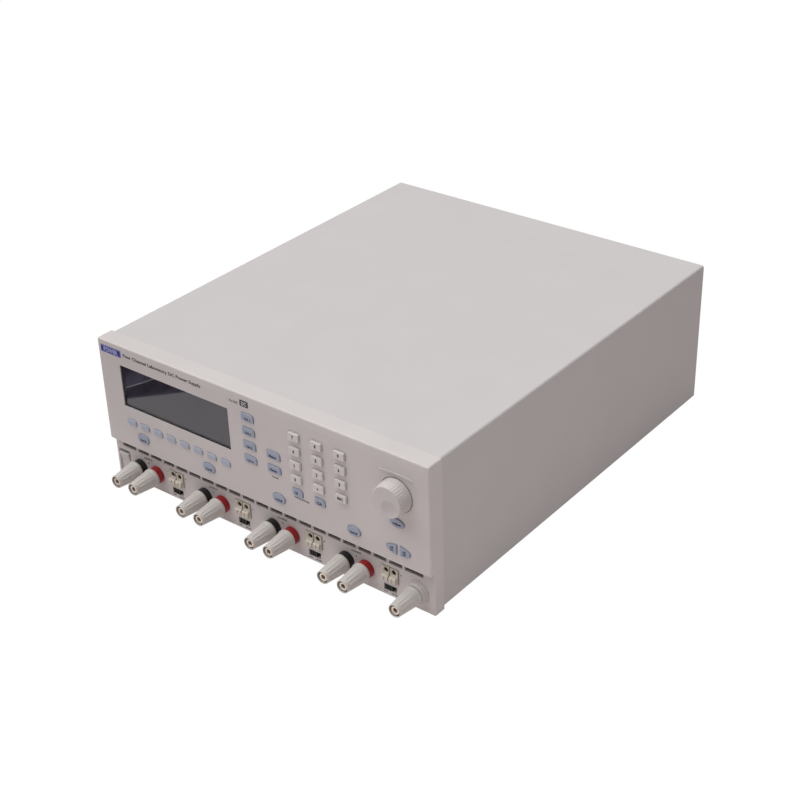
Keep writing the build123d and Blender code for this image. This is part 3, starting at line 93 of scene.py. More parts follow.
def object_coords(tree, stretch=(1.0, 1.0, 1.0)):
    """Object coordinates, stretched along the axes."""
    coords = tree.nodes.new("ShaderNodeTexCoord")
    mapping = tree.nodes.new("ShaderNodeMapping")
    mapping.inputs["Scale"].default_value = stretch
    tree.links.new(coords.outputs["Object"], mapping.inputs["Vector"])
    return mapping.outputs["Vector"]


def noise(tree, scale, detail=2.0, stretch=(1.0, 1.0, 1.0)):
    """Noise in object space, with this many features in a metre."""
    node = tree.nodes.new("ShaderNodeTexNoise")
    node.inputs["Scale"].default_value = scale
    node.inputs["Detail"].default_value = detail
    tree.links.new(object_coords(tree, stretch), node.inputs["Vector"])
    return node.outputs["Fac"]


def spread(tree, value, low, high, start=0.3, end=0.7):
    """value, moved from start..end to low..high."""
    node = tree.nodes.new("ShaderNodeMapRange")
    node.inputs["From Min"].default_value = start
    node.inputs["From Max"].default_value = end
    node.inputs["To Min"].default_value = low
    node.inputs["To Max"].default_value = high
    tree.links.new(value, node.inputs["Value"])
    return node.outputs["Result"]


def mix_colour(tree, factor, first, second):
    """A mix of two colours or colour sockets."""
    node = tree.nodes.new("ShaderNodeMix")
    node.data_type = "RGBA"
    tree.links.new(factor, node.inputs[0])
    for index, source in zip(MIX_COLOUR_INPUTS, (first, second)):
        if isinstance(source, tuple):
            node.inputs[index].default_value = (*source, 1.0)
        else:
            tree.links.new(source, node.inputs[index])
    return node.outputs[MIX_COLOUR_OUTPUT]


def add_bump(tree, bsdf, height, distance):
    """Surface relief from a height between 0 and 1."""
    node = tree.nodes.new("ShaderNodeBump")
    node.inputs["Strength"].default_value = 1.0
    node.inputs["Distance"].default_value = distance
    tree.links.new(height, node.inputs["Height"])
    tree.links.new(node.outputs["Normal"], bsdf.inputs["Normal"])


def axis_step(tree, axis, edge):
    """0 below a place on an object axis and 1 above it."""
    split = tree.nodes.new("ShaderNodeSeparateXYZ")
    tree.links.new(object_coords(tree), split.inputs["Vector"])
    return spread(tree, split.outputs[axis], 0.0, 1.0, edge - STEP_SOFTNESS, edge + STEP_SOFTNESS)


def tone(colour, factor):
    """A colour, lighter or darker."""
    return tuple(min(1.0, channel * factor) for channel in colour)


# ---- materials ------------------------------------------------------------------------------
def moulded(name, colour, roughness=0.5, grain=1500.0, depth=0.00005, mottle=0.025):
    """Moulded plastic or powder coat: a fine grain, cloudy colour and uneven gloss."""
    material, tree, bsdf = shader(name, colour, roughness)
    clouds = noise(tree, 24.0, 4.0)
    fine = noise(tree, grain, 3.0)
    patches = spread(tree, clouds, 0.0, 1.0)
    blotchy = mix_colour(tree, patches, tone(colour, 1 - mottle), tone(colour, 1 + mottle))
    speckled = mix_colour(tree, spread(tree, fine, 0.0, 0.12), blotchy, tone(colour, 0.8))
    tree.links.new(speckled, bsdf.inputs["Base Color"])
    tree.links.new(spread(tree, fine, roughness - 0.06, roughness + 0.08), bsdf.inputs["Roughness"])
    add_bump(tree, bsdf, fine, depth)
    return material


def metal(name, colour, roughness, stretch=(1.0, 1.0, 1.0), grain=900.0):
    """Bare or plated metal with drawn or turned marks."""
    material, tree, bsdf = shader(name, colour, roughness, Metallic=1.0)
    marks = noise(tree, grain, 4.0, stretch)
    clouds = noise(tree, 60.0, 3.0)
    cloudy = mix_colour(tree, spread(tree, clouds, 0.0, 1.0), tone(colour, 0.9), tone(colour, 1.06))
    tree.links.new(cloudy, bsdf.inputs["Base Color"])
    tree.links.new(spread(tree, marks, roughness - 0.08, roughness + 0.12), bsdf.inputs["Roughness"])
    add_bump(tree, bsdf, marks, 0.00002)
    return material


def zinc(name, colour, roughness):
    """Zinc-plated sheet with a faint spangle."""
    material, tree, bsdf = shader(name, colour, roughness, Metallic=1.0)
    cells = tree.nodes.new("ShaderNodeTexVoronoi")
    cells.inputs["Scale"].default_value = 140.0
    tree.links.new(object_coords(tree), cells.inputs["Vector"])
    spangle = spread(tree, cells.outputs["Distance"], 0.0, 1.0, 0.1, 0.8)
    spangled = mix_colour(tree, spangle, tone(colour, 0.86), tone(colour, 1.08))
    uneven = spread(tree, spangle, roughness - 0.1, roughness + 0.1, 0.0, 1.0)
    tree.links.new(spangled, bsdf.inputs["Base Color"])
    tree.links.new(uneven, bsdf.inputs["Roughness"])
    add_bump(tree, bsdf, noise(tree, 700.0, 3.0), 0.00002)
    return material


def circuit_board(name, colour, axis, face, toward, parts):
    """Laminate with etched traces; whatever stands off its face has the colours of its parts."""
    material, tree, bsdf = shader(name, colour, 0.4)
    traces = tree.nodes.new("ShaderNodeTexBrick")
    traces.inputs["Scale"].default_value = 90.0
    traces.inputs["Mortar Size"].default_value = 0.018
    traces.inputs["Color1"].default_value = (*colour, 1.0)
    traces.inputs["Color2"].default_value = (*tone(colour, 0.85), 1.0)
    traces.inputs["Mortar"].default_value = (*tone(colour, 1.9), 1.0)
    tree.links.new(object_coords(tree), traces.inputs["Vector"])
    raised = axis_step(tree, axis, face)
    if toward < 0:
        raised = spread(tree, raised, 1.0, 0.0, 0.0, 1.0)
    coloured = mix_colour(tree, raised, traces.outputs["Color"], parts(tree))
    tree.links.new(coloured, bsdf.inputs["Base Color"])
    add_bump(tree, bsdf, noise(tree, 1200.0, 2.0), 0.00003)
    return material


def switch_colours(tree):
    """Black key switches above, pale housings of the slide switches at the bottom."""
    dark = mix_colour(tree, noise(tree, 300.0), (0.02, 0.02, 0.022), (0.05, 0.05, 0.052))
    pale = mix_colour(tree, noise(tree, 300.0), (0.42, 0.39, 0.36), (0.50, 0.47, 0.44))
    return mix_colour(tree, axis_step(tree, 2, CASE_BOTTOM + SLIDE_TOP), pale, dark)


CAPACITORS_FROM = 60.0 * MM


def converter_colours(tree):
    """From the front: chokes, ferrite and yellow tape, black capacitor sleeves."""
    tape = mix_colour(tree, noise(tree, 400.0), (0.42, 0.30, 0.05), (0.55, 0.40, 0.09))
    ferrite = mix_colour(tree, noise(tree, 500.0), (0.025, 0.025, 0.028), (0.06, 0.06, 0.065))
    band = noise(tree, 34.0, 0.0, (0.0, 0.0, 1.0))
    wound = mix_colour(tree, spread(tree, band, 0.0, 1.0, 0.45, 0.55), ferrite, tape)
    sleeve = mix_colour(tree, noise(tree, 200.0), (0.015, 0.016, 0.02), (0.03, 0.032, 0.045))
    return mix_colour(tree, axis_step(tree, 1, CAPACITORS_FROM), wound, sleeve)


# the painted reflection on the display turns from near black to pale along this slanted line
PAINTED_REFLECTION_SLOPE = 0.42
PAINTED_REFLECTION_START = SCREEN.z + 43.0 * MM
PAINTED_REFLECTION_END = SCREEN.z + 49.0 * MM


def screen_panel(name):
    """Switched-off display, blue-black, with a painted reflection: near black in the upper left, paler
    towards the lower right, with faint upright bands.
    """
    material, tree, bsdf = shader(name, (0.02, 0.02, 0.025), 0.5, Specular_IOR_Level=0.15)
    split = tree.nodes.new("ShaderNodeSeparateXYZ")
    tree.links.new(object_coords(tree), split.inputs["Vector"])
    slope = tree.nodes.new("ShaderNodeMath")
    slope.operation = "MULTIPLY_ADD"
    slope.inputs[1].default_value = -PAINTED_REFLECTION_SLOPE
    tree.links.new(split.outputs[0], slope.inputs[0])
    tree.links.new(split.outputs[2], slope.inputs[2])
    # painted reflection: 0 in the upper left, 1 towards the lower right
    painted_reflection = spread(tree, slope.outputs["Value"], 1.0, 0.0, PAINTED_REFLECTION_START, PAINTED_REFLECTION_END)
    bands = spread(tree, noise(tree, 110.0, 3.0, (1.0, 1.0, 0.04)), 0.0, 1.0, 0.3, 0.7)
    pale = mix_colour(tree, bands, (0.044, 0.049, 0.088), (0.058, 0.060, 0.090))
    # painted reflection: near black in the upper left, pale with faint upright bands towards the lower
    # right
    tree.links.new(mix_colour(tree, painted_reflection, (0.006, 0.005, 0.010), pale), bsdf.inputs["Base Color"])
    add_bump(tree, bsdf, noise(tree, 500.0, 2.0), 0.000004)
    return material


def window_material(name):
    """Clear acrylic, slightly tinted, with faint wipe marks."""
    material, tree, bsdf = shader(name, (0.90, 0.90, 0.92), 0.01, Transmission_Weight=1.0, IOR=1.5)
    smears = noise(tree, 60.0, 5.0, (1.0, 1.0, 3.0))
    tree.links.new(spread(tree, smears, 0.005, 0.03), bsdf.inputs["Roughness"])
    return material


GREY = (0.590, 0.547, 0.541)
COVER_GREY = (0.550, 0.518, 0.517)
REAR_GREY = (0.52, 0.49, 0.488)
COATING = {"roughness": 0.55, "grain": 1000.0, "depth": 0.00007, "mottle": 0.015}
PRINT = {"roughness": 0.55, "grain": 3000.0, "depth": 0.000005, "mottle": 0.06}
FILM = {"roughness": 0.35, "grain": 2500.0, "depth": 0.00001, "mottle": 0.06}
BOARD_SHEET = 1.6 * MM
BOARD_MARGIN = 0.1 * MM
POWER_BOARD_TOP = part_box("power_board")[0].z + BOARD_SHEET + BOARD_MARGIN
FRONT_BOARD_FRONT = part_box("front_board")[1].y - BOARD_SHEET - BOARD_MARGIN

MATERIALS = {
    "bezel_plastic": moulded("bezel_plastic", GREY, 0.48),
    "cover_paint": moulded("cover_paint", COVER_GREY, **COATING),
    "zinc_steel": zinc("zinc_steel", (0.62, 0.63, 0.64), 0.42),
    "rear_paint": moulded("rear_paint", REAR_GREY, **COATING),
    "foot_rubber": moulded("foot_rubber", (0.022, 0.022, 0.023), 0.78, grain=1400.0, depth=0.0001),
    "screw_steel": metal("screw_steel", (0.55, 0.55, 0.55), 0.32, grain=1600.0),
    "window_plastic": window_material("window_plastic"),
    "lcd_panel": screen_panel("lcd_panel"),
    "board_laminate": circuit_board(
        "board_laminate", (0.02, 0.10, 0.04), 2, POWER_BOARD_TOP, 1, converter_colours
    ),
    "heatsink_aluminium": metal("heatsink_aluminium", (0.74, 0.74, 0.76), 0.35, (0.02, 1.0, 1.0)),
    "switch_plastic": moulded("switch_plastic", (0.62, 0.58, 0.57), 0.5),
    "rocker_plastic": moulded("rocker_plastic", (0.55, 0.52, 0.51), 0.4),
    "black_plastic": moulded("black_plastic", (0.018, 0.018, 0.020), 0.42, mottle=0.1),
    "socket_metal": metal("socket_metal", (0.66, 0.66, 0.67), 0.28, (1.0, 0.05, 1.0)),
    "nickel": metal("nickel", (0.84, 0.76, 0.67), 0.42, (1.0, 6.0, 1.0)),
    "insulator_black": moulded("insulator_black", (0.010, 0.009, 0.010), 0.28, mottle=0.1),
    "insulator_red": moulded("insulator_red", (0.30, 0.006, 0.010), 0.28, mottle=0.05),
    "cap_plastic": moulded("cap_plastic", (0.548, 0.514, 0.487), 0.42),
    "sense_plastic": moulded("sense_plastic", (0.60, 0.54, 0.46), 0.45),
    "selector_plastic": moulded("selector_plastic", (0.010, 0.010, 0.011), 0.4, mottle=0.1),
    "knob_plastic": moulded("knob_plastic", (0.560, 0.522, 0.512), 0.45),
    "white_keys": moulded("white_keys", (0.640, 0.600, 0.590), 0.42),
    "blue_keys": moulded("blue_keys", (0.325, 0.360, 0.450), 0.42),
}
FRONT_BOARD = circuit_board(
    "front_board_laminate", (0.020, 0.016, 0.014), 1, FRONT_BOARD_FRONT, -1, switch_colours
)
INK = moulded("print_ink", (0.016, 0.016, 0.020), **PRINT)
BLUE_INK = moulded("blue_ink", (0.020, 0.030, 0.075), **PRINT)
PALE_INK = moulded("pale_ink", (0.62, 0.63, 0.68), 0.5, grain=3000.0, depth=0.000005)
BADGE_BLUE = moulded("badge_blue", (0.030, 0.035, 0.270), **FILM)
BADGE_DARK = moulded("badge_dark", (0.045, 0.045, 0.052), **FILM)
# metal contacts, coloured dark brown partly as painted shade deep in the sense entries
CONTACT_AND_SHADE = metal("contact", (0.26, 0.20, 0.15), 0.5)
SOFT_KEYS = moulded("soft_keys", (0.400, 0.428, 0.520), 0.42)
BADGE_INK = moulded("badge_ink", (0.36, 0.38, 0.62), 0.45, grain=2500.0, depth=0.000005)
SLEEVE = moulded("sleeve", (0.42, 0.34, 0.28), 0.5, mottle=0.1)
GASKET = moulded("gasket", (0.008, 0.008, 0.009), 0.6, mottle=0.1)

for entry in frame["record"]["subparts"]:
    materials = nodes[entry["node"]].data.materials
    materials.clear()
    materials.append(MATERIALS[entry["material_slot"]])
nodes["front_board"].data.materials[0] = FRONT_BOARD
nodes["soft_keys"].data.materials[0] = SOFT_KEYS


# ---- printed lettering ------------------------------------------------------------------------
INK_PROUD = 0.04 * MM
INK_SUNK = 0.03 * MM
WELD = 0.002 * MM
LEGEND_WEIGHT = 0.055
CAPTION_WEIGHT = 0.035
TITLE_WEIGHT = 0.026
REAR_WEIGHT = 0.018


def place_mesh(name, body, material):
    """A new object in the scene from a bmesh."""
    mesh = bpy.data.meshes.new(name)
    body.to_mesh(mesh)
    body.free()
    mesh.materials.append(material)
    piece = bpy.data.objects.new(name, mesh)
    bpy.context.scene.collection.objects.link(piece)
    return piece


def glyph_mesh(words, weight):
    """The words as a closed mesh in the XY plane, one unit thick, with their baseline at 0."""
    curve = bpy.data.curves.new("glyphs", "FONT")
    curve.body = words
    curve.extrude = 0.5
    curve.offset = weight
    curve.resolution_u = 3
    curve.align_x = "CENTER"
    holder = bpy.data.objects.new("glyphs", curve)
    bpy.context.scene.collection.objects.link(holder)
    bpy.context.view_layer.update()
    mesh = bpy.data.meshes.new_from_object(holder.evaluated_get(bpy.context.evaluated_depsgraph_get()))
    bpy.data.objects.remove(holder)
    bpy.data.curves.remove(curve)
    return mesh


def mesh_span(mesh, axis):
    """Lowest and highest coordinate of a mesh on one axis."""
    values = [vertex.co[axis] for vertex in mesh.vertices]
    return min(values), max(values)


capital = glyph_mesh("H", 0.0)
CAPITAL_HEIGHT = mesh_span(capital, 1)[1]
bpy.data.meshes.remove(capital)


def add_words(body, words, x, y, z, width, height, weight=LEGEND_WEIGHT, facing=-1):
    """Adds words to a bmesh, printed on the surface at y that faces -Y (-1) or +Y (1).

    x and z are the middle of the line of capitals, height is a capital's height.
    A single sign is centred on its own outline, and height is the sign's own.
    """
    mesh = glyph_mesh(words, weight)
    left, right = mesh_span(mesh, 0)
    bottom, top = mesh_span(mesh, 1) if words in ".+-" else (0.0, CAPITAL_HEIGHT)
    back, front = mesh_span(mesh, 2)
    for vertex in mesh.vertices:
        across = (vertex.co.x - left) / (right - left) - 0.5
        rise = (vertex.co.y - bottom) / (top - bottom) - 0.5
        out = (vertex.co.z - back) / (front - back)
        vertex.co = (
            x - facing * across * width,
            y + facing * (out * (INK_PROUD + INK_SUNK) - INK_SUNK),
            z + rise * height,
        )
    body.from_mesh(mesh)
    bpy.data.meshes.remove(mesh)


def finish_piece(name, body, material, rides):
    """Turns a bmesh into a piece that rides on a body."""
    bmesh.ops.remove_doubles(body, verts=body.verts, dist=WELD)
    bmesh.ops.recalc_face_normals(body, faces=body.faces)
    piece = place_mesh(name, body, material)
    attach(piece, rides)


def lettering(name, entries, material, rides):
    """One piece for several printed words."""
    body = bmesh.new()
    for entry in entries:
        add_words(body, *entry)
    finish_piece(name, body, material, rides)


def key_legend(node, lines, material):
    """Words on a key: each line has its text, offsets from the key's middle, width and height in mm."""
    middle = centre(node)
    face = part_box(node)[0].y
    entries = [
        (words, middle.x + dx * MM, face, middle.z + dz * MM, width * MM, height * MM)
        for words, dx, dz, width, height in lines
    ]
    lettering(f"{node}_legend", entries, material, f"{node}_body")


for digit in range(10):
    narrow = 0.9 if digit == 1 else 1.7
    key_legend(f"number_key_{digit}", [(str(digit), -0.2, 0.1, narrow, 2.5)], INK)
key_legend("decimal_key", [(".", -0.2, 0.0, 1.6, 1.6)], INK)
key_legend("escape_key", [("ESC", -0.2, -0.1, 5.6, 2.1)], INK)
key_legend("ok_key", [("OK", -0.6, -0.3, 3.4, 2.1)], BLUE_INK)
key_legend("clear_key", [("CLR", 0.0, -0.9, 5.2, 1.9)], BLUE_INK)
key_legend("menu_key", [("Menu", -0.4, -0.9, 7.2, 2.0)], BLUE_INK)
key_legend("home_key", [("Home", -0.4, -0.6, 7.2, 2.0)], BLUE_INK)
for i in range(CHANNELS):
    key_legend(f"output_select_key_{i + 1}", [(f"CH {i + 1}", 0.2, -1.1, 6.4, 1.9)], BLUE_INK)
    key_legend(f"output_on_key_{i + 1}", [("On/Off", 0.2, -1.1, 7.4, 1.8)], BLUE_INK)
key_legend("adjust_key", [("Adjust", 0.1, -0.4, 7.6, 1.7)], BLUE_INK)
key_legend("all_on_key", [("All", 0.6, 0.9, 3.2, 1.5), ("On", 0.6, -1.3, 3.0, 1.5)], BLUE_INK)
key_legend("all_off_key", [("All", -0.9, 0.9, 3.2, 1.5), ("Off", -0.9, -1.3, 3.4, 1.5)], BLUE_INK)


def on_case(words, x, height_above, width, height, face, weight=CAPTION_WEIGHT, facing=-1):
    """An entry for lettering, placed in mm from the middle and the bottom of the case."""
    z = CASE_BOTTOM + height_above * MM
    return (words, x * MM, face, z, width * MM, height * MM, weight, facing)


panel_words = [
    on_case("Four Channel Laboratory DC Power Supply", -93.5, 123.2, 84.7, 2.7, PANEL_FACE, TITLE_WEIGHT),
    on_case("4 x DC", -17.3, 121.6, 9.0, 1.9, PANEL_FACE),
    on_case("Local", 19.8, 68.3, 6.4, 1.3, PANEL_FACE),
    on_case("Hold to lock keys", 45.6, 58.3, 14.6, 1.4, PANEL_FACE),
]
for i, x in enumerate(CHANNEL_X):
    panel_words += [
        on_case("OUTPUT", x / MM, 27.2, 9.6, 1.7, BAND_FACE),
        on_case(str(i + 1), x / MM, 23.6, 0.9 if i == 0 else 1.3, 1.8, BAND_FACE),
        on_case("-", x / MM + 22.0, 23.7, 1.4, 0.35, BAND_FACE),
        on_case("+", x / MM + 42.0, 23.7, 1.5, 1.5, BAND_FACE),
        on_case("INT", x / MM + 27.4, 3.4, 3.4, 1.0, BAND_FACE),
        on_case("SENSE", x / MM + 35.2, 3.4, 5.6, 1.0, BAND_FACE),
    ]
lettering("panel_lettering", panel_words, INK, "case")


# ---- plates, badges and seals ---------------------------------------------------------------------
def rounded_outline(width, height, radius, steps=5):
    """Points of a rectangle with rounded corners, anticlockwise."""
    points = []
    for index, (sx, sz) in enumerate(((1, 1), (-1, 1), (-1, -1), (1, -1))):
        for step in range(steps + 1):
            angle = (index + step / steps) * pi / 2.0
            points.append((
                sx * (width / 2.0 - radius) + radius * cos(angle),
                sz * (height / 2.0 - radius) + radius * sin(angle),
            ))
    return points


def add_plate(body, x, y, z, width, height, radius, proud, bevel=0.05 * MM):
    """A thin plate on the surface at y, its front edge softened."""
    outer = rounded_outline(width, height, radius)
    back = [body.verts.new((x + px, y + INK_SUNK, z + pz)) for px, pz in outer]
    rim = [body.verts.new((v.co.x, y - proud + bevel, v.co.z)) for v in back]
    inner = rounded_outline(width - 2 * bevel, height - 2 * bevel, max(radius - bevel, bevel))
    front = [body.verts.new((x + px, y - proud, z + pz)) for px, pz in inner]
    count = len(back)
    for lower, upper in ((back, rim), (rim, front)):
        for k in range(count):
            body.faces.new((lower[k], lower[(k + 1) % count], upper[(k + 1) % count], upper[k]))
    body.faces.new(front)
    body.faces.new(back[::-1])


def add_frame(body, x, y, z, width, height, radius, line, proud, sunk=INK_SUNK):
    """A raised rectangular line."""
    loops = []
    for inset, depth in ((0.0, sunk), (0.0, -proud), (line, -proud), (line, sunk)):
        corner = max(radius - inset, 0.02 * MM)
        outline = rounded_outline(width - 2 * inset, height - 2 * inset, corner)
        loops.append([body.verts.new((x + px, y + depth, z + pz)) for px, pz in outline])
    count = len(loops[0])
    for ring, following in zip(loops, loops[1:] + loops[:1]):
        for k in range(count):
            body.faces.new((ring[k], ring[(k + 1) % count], following[(k + 1) % count], following[k]))


def badge(name, place, size, radius, proud, material):
    """A printed film badge; its place is in mm from the middle and the bottom of the case."""
    body = bmesh.new()
    add_plate(body, place[0] * MM, PANEL_FACE, CASE_BOTTOM + place[1] * MM, *size, radius, proud)
    finish_piece(name, body, material, "case")


BADGE = (-149.7, 123.0)
BADGE_SIZE = (22.4 * MM, 6.0 * MM)
BADGE_PROUD = 0.2 * MM
BORDER_INSET = 0.25 * MM
BORDER_SIZE = [side - 2.0 * BORDER_INSET for side in BADGE_SIZE]
BORDER_LINE = 0.22 * MM
BORDER_PROUD = 0.02 * MM
badge("maker_badge", BADGE, BADGE_SIZE, 0.3 * MM, BADGE_PROUD, BADGE_BLUE)
body = bmesh.new()
badge_place = (BADGE[0] * MM, PANEL_FACE - BADGE_PROUD, CASE_BOTTOM + BADGE[1] * MM)
add_frame(body, *badge_place, *BORDER_SIZE, 0.2 * MM, BORDER_LINE, BORDER_PROUD)
finish_piece("maker_badge_border", body, BADGE_INK, "case")
badge_letters = [on_case("POWER", *BADGE, 16.0, 3.5, PANEL_FACE - BADGE_PROUD, 0.05)]
lettering("maker_badge_lettering", badge_letters, BADGE_INK, "case")

TYPE_BADGE = (-6.65, 122.95)
TYPE_BADGE_SIZE = (8.5 * MM, 5.4 * MM)
TYPE_BADGE_PROUD = 0.15 * MM
badge("type_badge", TYPE_BADGE, TYPE_BADGE_SIZE, 0.8 * MM, TYPE_BADGE_PROUD, BADGE_DARK)
badge_words = [on_case("DC", *TYPE_BADGE, 4.8, 3.0, PANEL_FACE - TYPE_BADGE_PROUD, 0.02)]
lettering("type_badge_lettering", badge_words, PALE_INK, "case")

# the seal that lines the display opening, inside the window's flange
FLANGE = 2.0 * MM
SEAL_GAP = 0.02 * MM
SEAL_LINE = 0.3 * MM
SEAL_HEIGHT = 0.5 * MM
seal_width = window_high.x - window_low.x - 2.0 * FLANGE - SEAL_GAP
seal_height = window_high.z - window_low.z - 2.0 * FLANGE - SEAL_GAP
body = bmesh.new()
add_frame(
    body, SCREEN.x, WINDOW_FACE, SCREEN.z, seal_width, seal_height,
    0.05 * MM, SEAL_LINE, SEAL_HEIGHT, -SEAL_GAP,
)
finish_piece("display_seal", body, GASKET, "case")


# ---- contacts in the openings --------------------------------------------------------------------
def add_turned(body, x, z, profile, segments=24):
    """A ring with this closed (radius, y) profile, turned about an axis along Y."""
    loops = []
    for k in range(segments):
        angle = 2.0 * pi * k / segments
        loops.append([body.verts.new((x + r * cos(angle), y, z + r * sin(angle))) for r, y in profile])
    count = len(profile)
    for k in range(segments):
        first, second = loops[k], loops[(k + 1) % segments]
        for m in range(count):
            body.faces.new((first[m], second[m], second[(m + 1) % count], first[(m + 1) % count]))


# linings of the sense entries: metal contacts, and painted shade that darkens the holes
CONTACT_FRONT = BAND_FACE + 0.2 * MM
CONTACT_BACK = BAND_FACE + 3.6 * MM
CONTACT_RADIUS = 2.08 * MM
CONTACT_BORE = 0.30 * MM
contact_profile = [
    (CONTACT_RADIUS, CONTACT_FRONT),
    (CONTACT_RADIUS, CONTACT_BACK),
    (CONTACT_BORE, CONTACT_BACK),
    (CONTACT_BORE, CONTACT_BACK - 0.6 * MM),
    (CONTACT_RADIUS - 0.38 * MM, CONTACT_BACK - 0.8 * MM),
    (CONTACT_RADIUS - 0.30 * MM, CONTACT_FRONT),
]
body = bmesh.new()
for x in CHANNEL_X:
    for side in (-1, 1):
        entry_x = x + SENSE_OFFSET + side * SENSE_PITCH / 2.0
        add_turned(body, entry_x, CASE_BOTTOM + ENTRY_HEIGHT, contact_profile)
finish_piece("sense_contacts_and_painted_shade", body, CONTACT_AND_SHADE, "case")

# thin contact sleeves inside the 4 mm sockets
STUD_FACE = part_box("terminal_studs")[0].y
SLEEVE_RADIUS = 1.99 * MM
SLEEVE_BORE = 1.93 * MM
SLEEVE_FRONT = STUD_FACE + 0.35 * MM
SLEEVE_BACK = STUD_FACE + 6.0 * MM
sleeve_profile = [
    (SLEEVE_RADIUS, SLEEVE_FRONT),
    (SLEEVE_RADIUS, SLEEVE_BACK),
    (SLEEVE_BORE, SLEEVE_BACK),
    (SLEEVE_BORE, SLEEVE_FRONT + 0.05 * MM),
]
body = bmesh.new()
for post in (centre(node) for node in nodes if "_post_cap" in node):
    add_turned(body, post.x, post.z, sleeve_profile)
finish_piece("socket_sleeves", body, SLEEVE, "case")

# markings of the rear panel
REAR_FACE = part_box("rear_panel")[1].y
rear_words = [
    on_case("AC IN", -118.0, 46.5, 12.0, 2.6, REAR_FACE, REAR_WEIGHT, 1),
    on_case("LAN", -40.0, 37.5, 7.0, 2.2, REAR_FACE, REAR_WEIGHT, 1),
    on_case("USB", -64.0, 37.5, 7.0, 2.2, REAR_FACE, REAR_WEIGHT, 1),
]
lettering("rear_lettering", rear_words, INK, "case")


# ---- floor, light and camera ---------------------------------------------------------------------
FLOOR_NEAR = (0.75, 0.69, 0.68)
FLOOR_FAR = (0.36, 0.33, 0.33)
GLOW_TINT = (1.0, 0.93, 0.92)
GLOW_CENTRE = (0.58, -0.52, 0.0)
GLOW_REACH = (0.5, 1.55)
GLOW_FAR = 0.20
GLOW_STRENGTH = 1.02
GLOW_SHARE = (0.36, 0.97)


def larger(tree, first, second):
    """The larger of two value sockets."""
    node = tree.nodes.new("ShaderNodeMath")
    node.operation = "MAXIMUM"
    tree.links.new(first, node.inputs[0])
    tree.links.new(second, node.inputs[1])
    return node.outputs["Value"]


def stage_floor(radius):
    """A round floor: evenly white to the eye, a warm pool of light in what it bounces."""
    material, tree, bsdf = shader("floor", FLOOR_NEAR, 0.9)
    bsdf.inputs["Specular IOR Level"].default_value = 0.0
    apart = tree.nodes.new("ShaderNodeVectorMath")
    apart.operation = "DISTANCE"
    apart.inputs[1].default_value = GLOW_CENTRE
    tree.links.new(object_coords(tree), apart.inputs[0])
    fall = spread(tree, apart.outputs["Value"], 0.0, 1.0, *GLOW_REACH)
    tree.links.new(mix_colour(tree, fall, FLOOR_NEAR, FLOOR_FAR), bsdf.inputs["Base Color"])
    eye = tree.nodes.new("ShaderNodeLightPath").outputs["Is Camera Ray"]
    level = larger(tree, spread(tree, fall, 1.0, GLOW_FAR, 0.0, 1.0), eye)
    glow = tree.nodes.new("ShaderNodeEmission")
    tree.links.new(mix_colour(tree, eye, GLOW_TINT, (1.0, 1.0, 1.0)), glow.inputs["Color"])
    tree.links.new(spread(tree, level, 0.0, GLOW_STRENGTH, 0.0, 1.0), glow.inputs["Strength"])
    blend = tree.nodes.new("ShaderNodeMixShader")
    tree.links.new(spread(tree, eye, *GLOW_SHARE, 0.0, 1.0), blend.inputs[0])
    tree.links.new(bsdf.outputs["BSDF"], blend.inputs[1])
    tree.links.new(glow.outputs["Emission"], blend.inputs[2])
    tree.links.new(blend.outputs["Shader"], tree.nodes["Material Output"].inputs["Surface"])
    body = bmesh.new()
    bmesh.ops.create_circle(body, cap_ends=True, radius=radius, segments=96)
    floor = place_mesh("stage_floor", body, material)


def stage_card(name, corners, first, second):
    """A studio card of uneven colour, lying beyond the front left corner, that only reflections show."""
    material, tree, bsdf = shader(name, first, 0.9)
    folds = spread(tree, noise(tree, 26.0, 2.0, (1.0, 0.35, 1.0)), 0.0, 1.0, 0.4, 0.6)
    tree.links.new(mix_colour(tree, folds, first, second), bsdf.inputs["Base Color"])
    body = bmesh.new()
    body.faces.new([body.verts.new(corner) for corner in corners])
    card = place_mesh(name, body, material)
    for kind in ("camera", "diffuse", "volume_scatter", "shadow"):
        setattr(card, f"visible_{kind}", False)


FLOOR_RADIUS = 12.0
stage_floor(FLOOR_RADIUS)

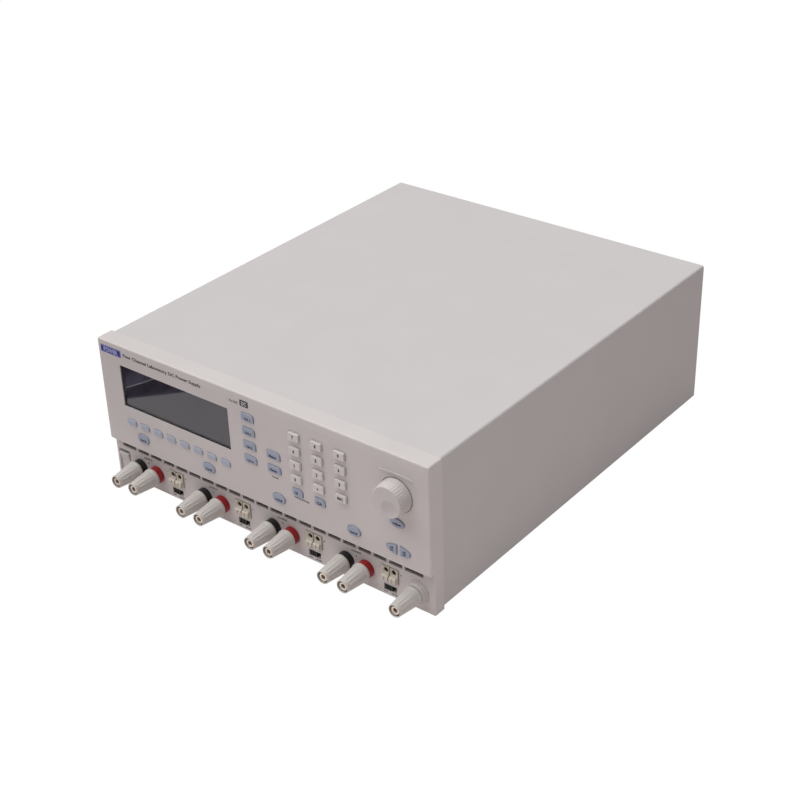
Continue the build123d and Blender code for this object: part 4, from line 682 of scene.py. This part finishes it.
# a dark flag and a pale strip on it, for the reflection in the upper left of the display
FLAG_START = Vector((-0.257, -0.279, 0.001))
FLAG_RUN = Vector((0.040, -0.045, 0.0)).normalized()
FLAG_OUT = Vector((FLAG_RUN.y, -FLAG_RUN.x, 0.0))
FLAG_REACH = (-1.5, 2.5)
FLAG_DEPTH = 3.0
flag_near = [FLAG_START + FLAG_RUN * reach for reach in FLAG_REACH]
flag_far = [corner + FLAG_OUT * FLAG_DEPTH for corner in flag_near[::-1]]
stage_card("stage_flag", flag_near + flag_far, (0.05, 0.035, 0.060), (0.24, 0.20, 0.30))
STRIP_START = Vector((-0.2740, -0.2858, 0.002))
STRIP_LENGTH = 0.035
STRIP_WIDTH = Vector((0.0022, 0.0008, 0.0))
strip_end = STRIP_START + Vector((0.0096, -0.0274, 0.0)).normalized() * STRIP_LENGTH
strip = [STRIP_START, strip_end, strip_end + STRIP_WIDTH, STRIP_START + STRIP_WIDTH]
stage_card("stage_strip", strip, (0.60, 0.60, 0.64), (0.75, 0.75, 0.80))

world = bpy.data.worlds.new("studio")
bpy.context.scene.world = world
world.use_nodes = True
background = world.node_tree.nodes["Background"]
background.inputs["Color"].default_value = (1.0, 1.0, 1.0, 1.0)
WORLD_STRENGTH = 0.25
world_path = world.node_tree.nodes.new("ShaderNodeLightPath")
world_level = world.node_tree.nodes.new("ShaderNodeMapRange")
world_level.inputs["To Min"].default_value = WORLD_STRENGTH
world_level.inputs["To Max"].default_value = 1.0
world.node_tree.links.new(world_path.outputs["Is Camera Ray"], world_level.inputs["Value"])
world.node_tree.links.new(world_level.outputs["Result"], background.inputs["Strength"])

SUN_FROM = Vector((-0.30, -0.13, 0.94))
SUN_ENERGY = 0.95 * pi
SUN_SPREAD = radians(65.0)
sun_data = bpy.data.lights.new("soft_top_light", "SUN")
sun_data.energy = SUN_ENERGY
sun_data.angle = SUN_SPREAD
sun = bpy.data.objects.new("soft_top_light", sun_data)
sun.rotation_euler = SUN_FROM.to_track_quat("Z", "Y").to_euler()
bpy.context.scene.collection.objects.link(sun)

FOCAL_LENGTH = 70.52
SENSOR_WIDTH = 36.0
CAMERA_RIGHT = (0.7881, 0.61493, -0.02749)
CAMERA_UP = (-0.29206, 0.41287, 0.86269)
CAMERA_BACK = (0.54185, -0.67186, 0.50498)
CAMERA_PLACE = (0.71253, PANEL_FACE - 0.70721, CASE_BOTTOM + 0.70832)
camera_data = bpy.data.cameras.new("camera")
camera_data.lens = FOCAL_LENGTH
camera_data.sensor_width = SENSOR_WIDTH
camera_data.clip_end = 50.0
camera = bpy.data.objects.new("camera", camera_data)
camera.matrix_world = Matrix((
    *zip(CAMERA_RIGHT, CAMERA_UP, CAMERA_BACK, CAMERA_PLACE),
    (0.0, 0.0, 0.0, 1.0),
))
bpy.context.scene.collection.objects.link(camera)
bpy.context.scene.camera = camera
bpy.context.scene.view_settings.view_transform = "Standard"
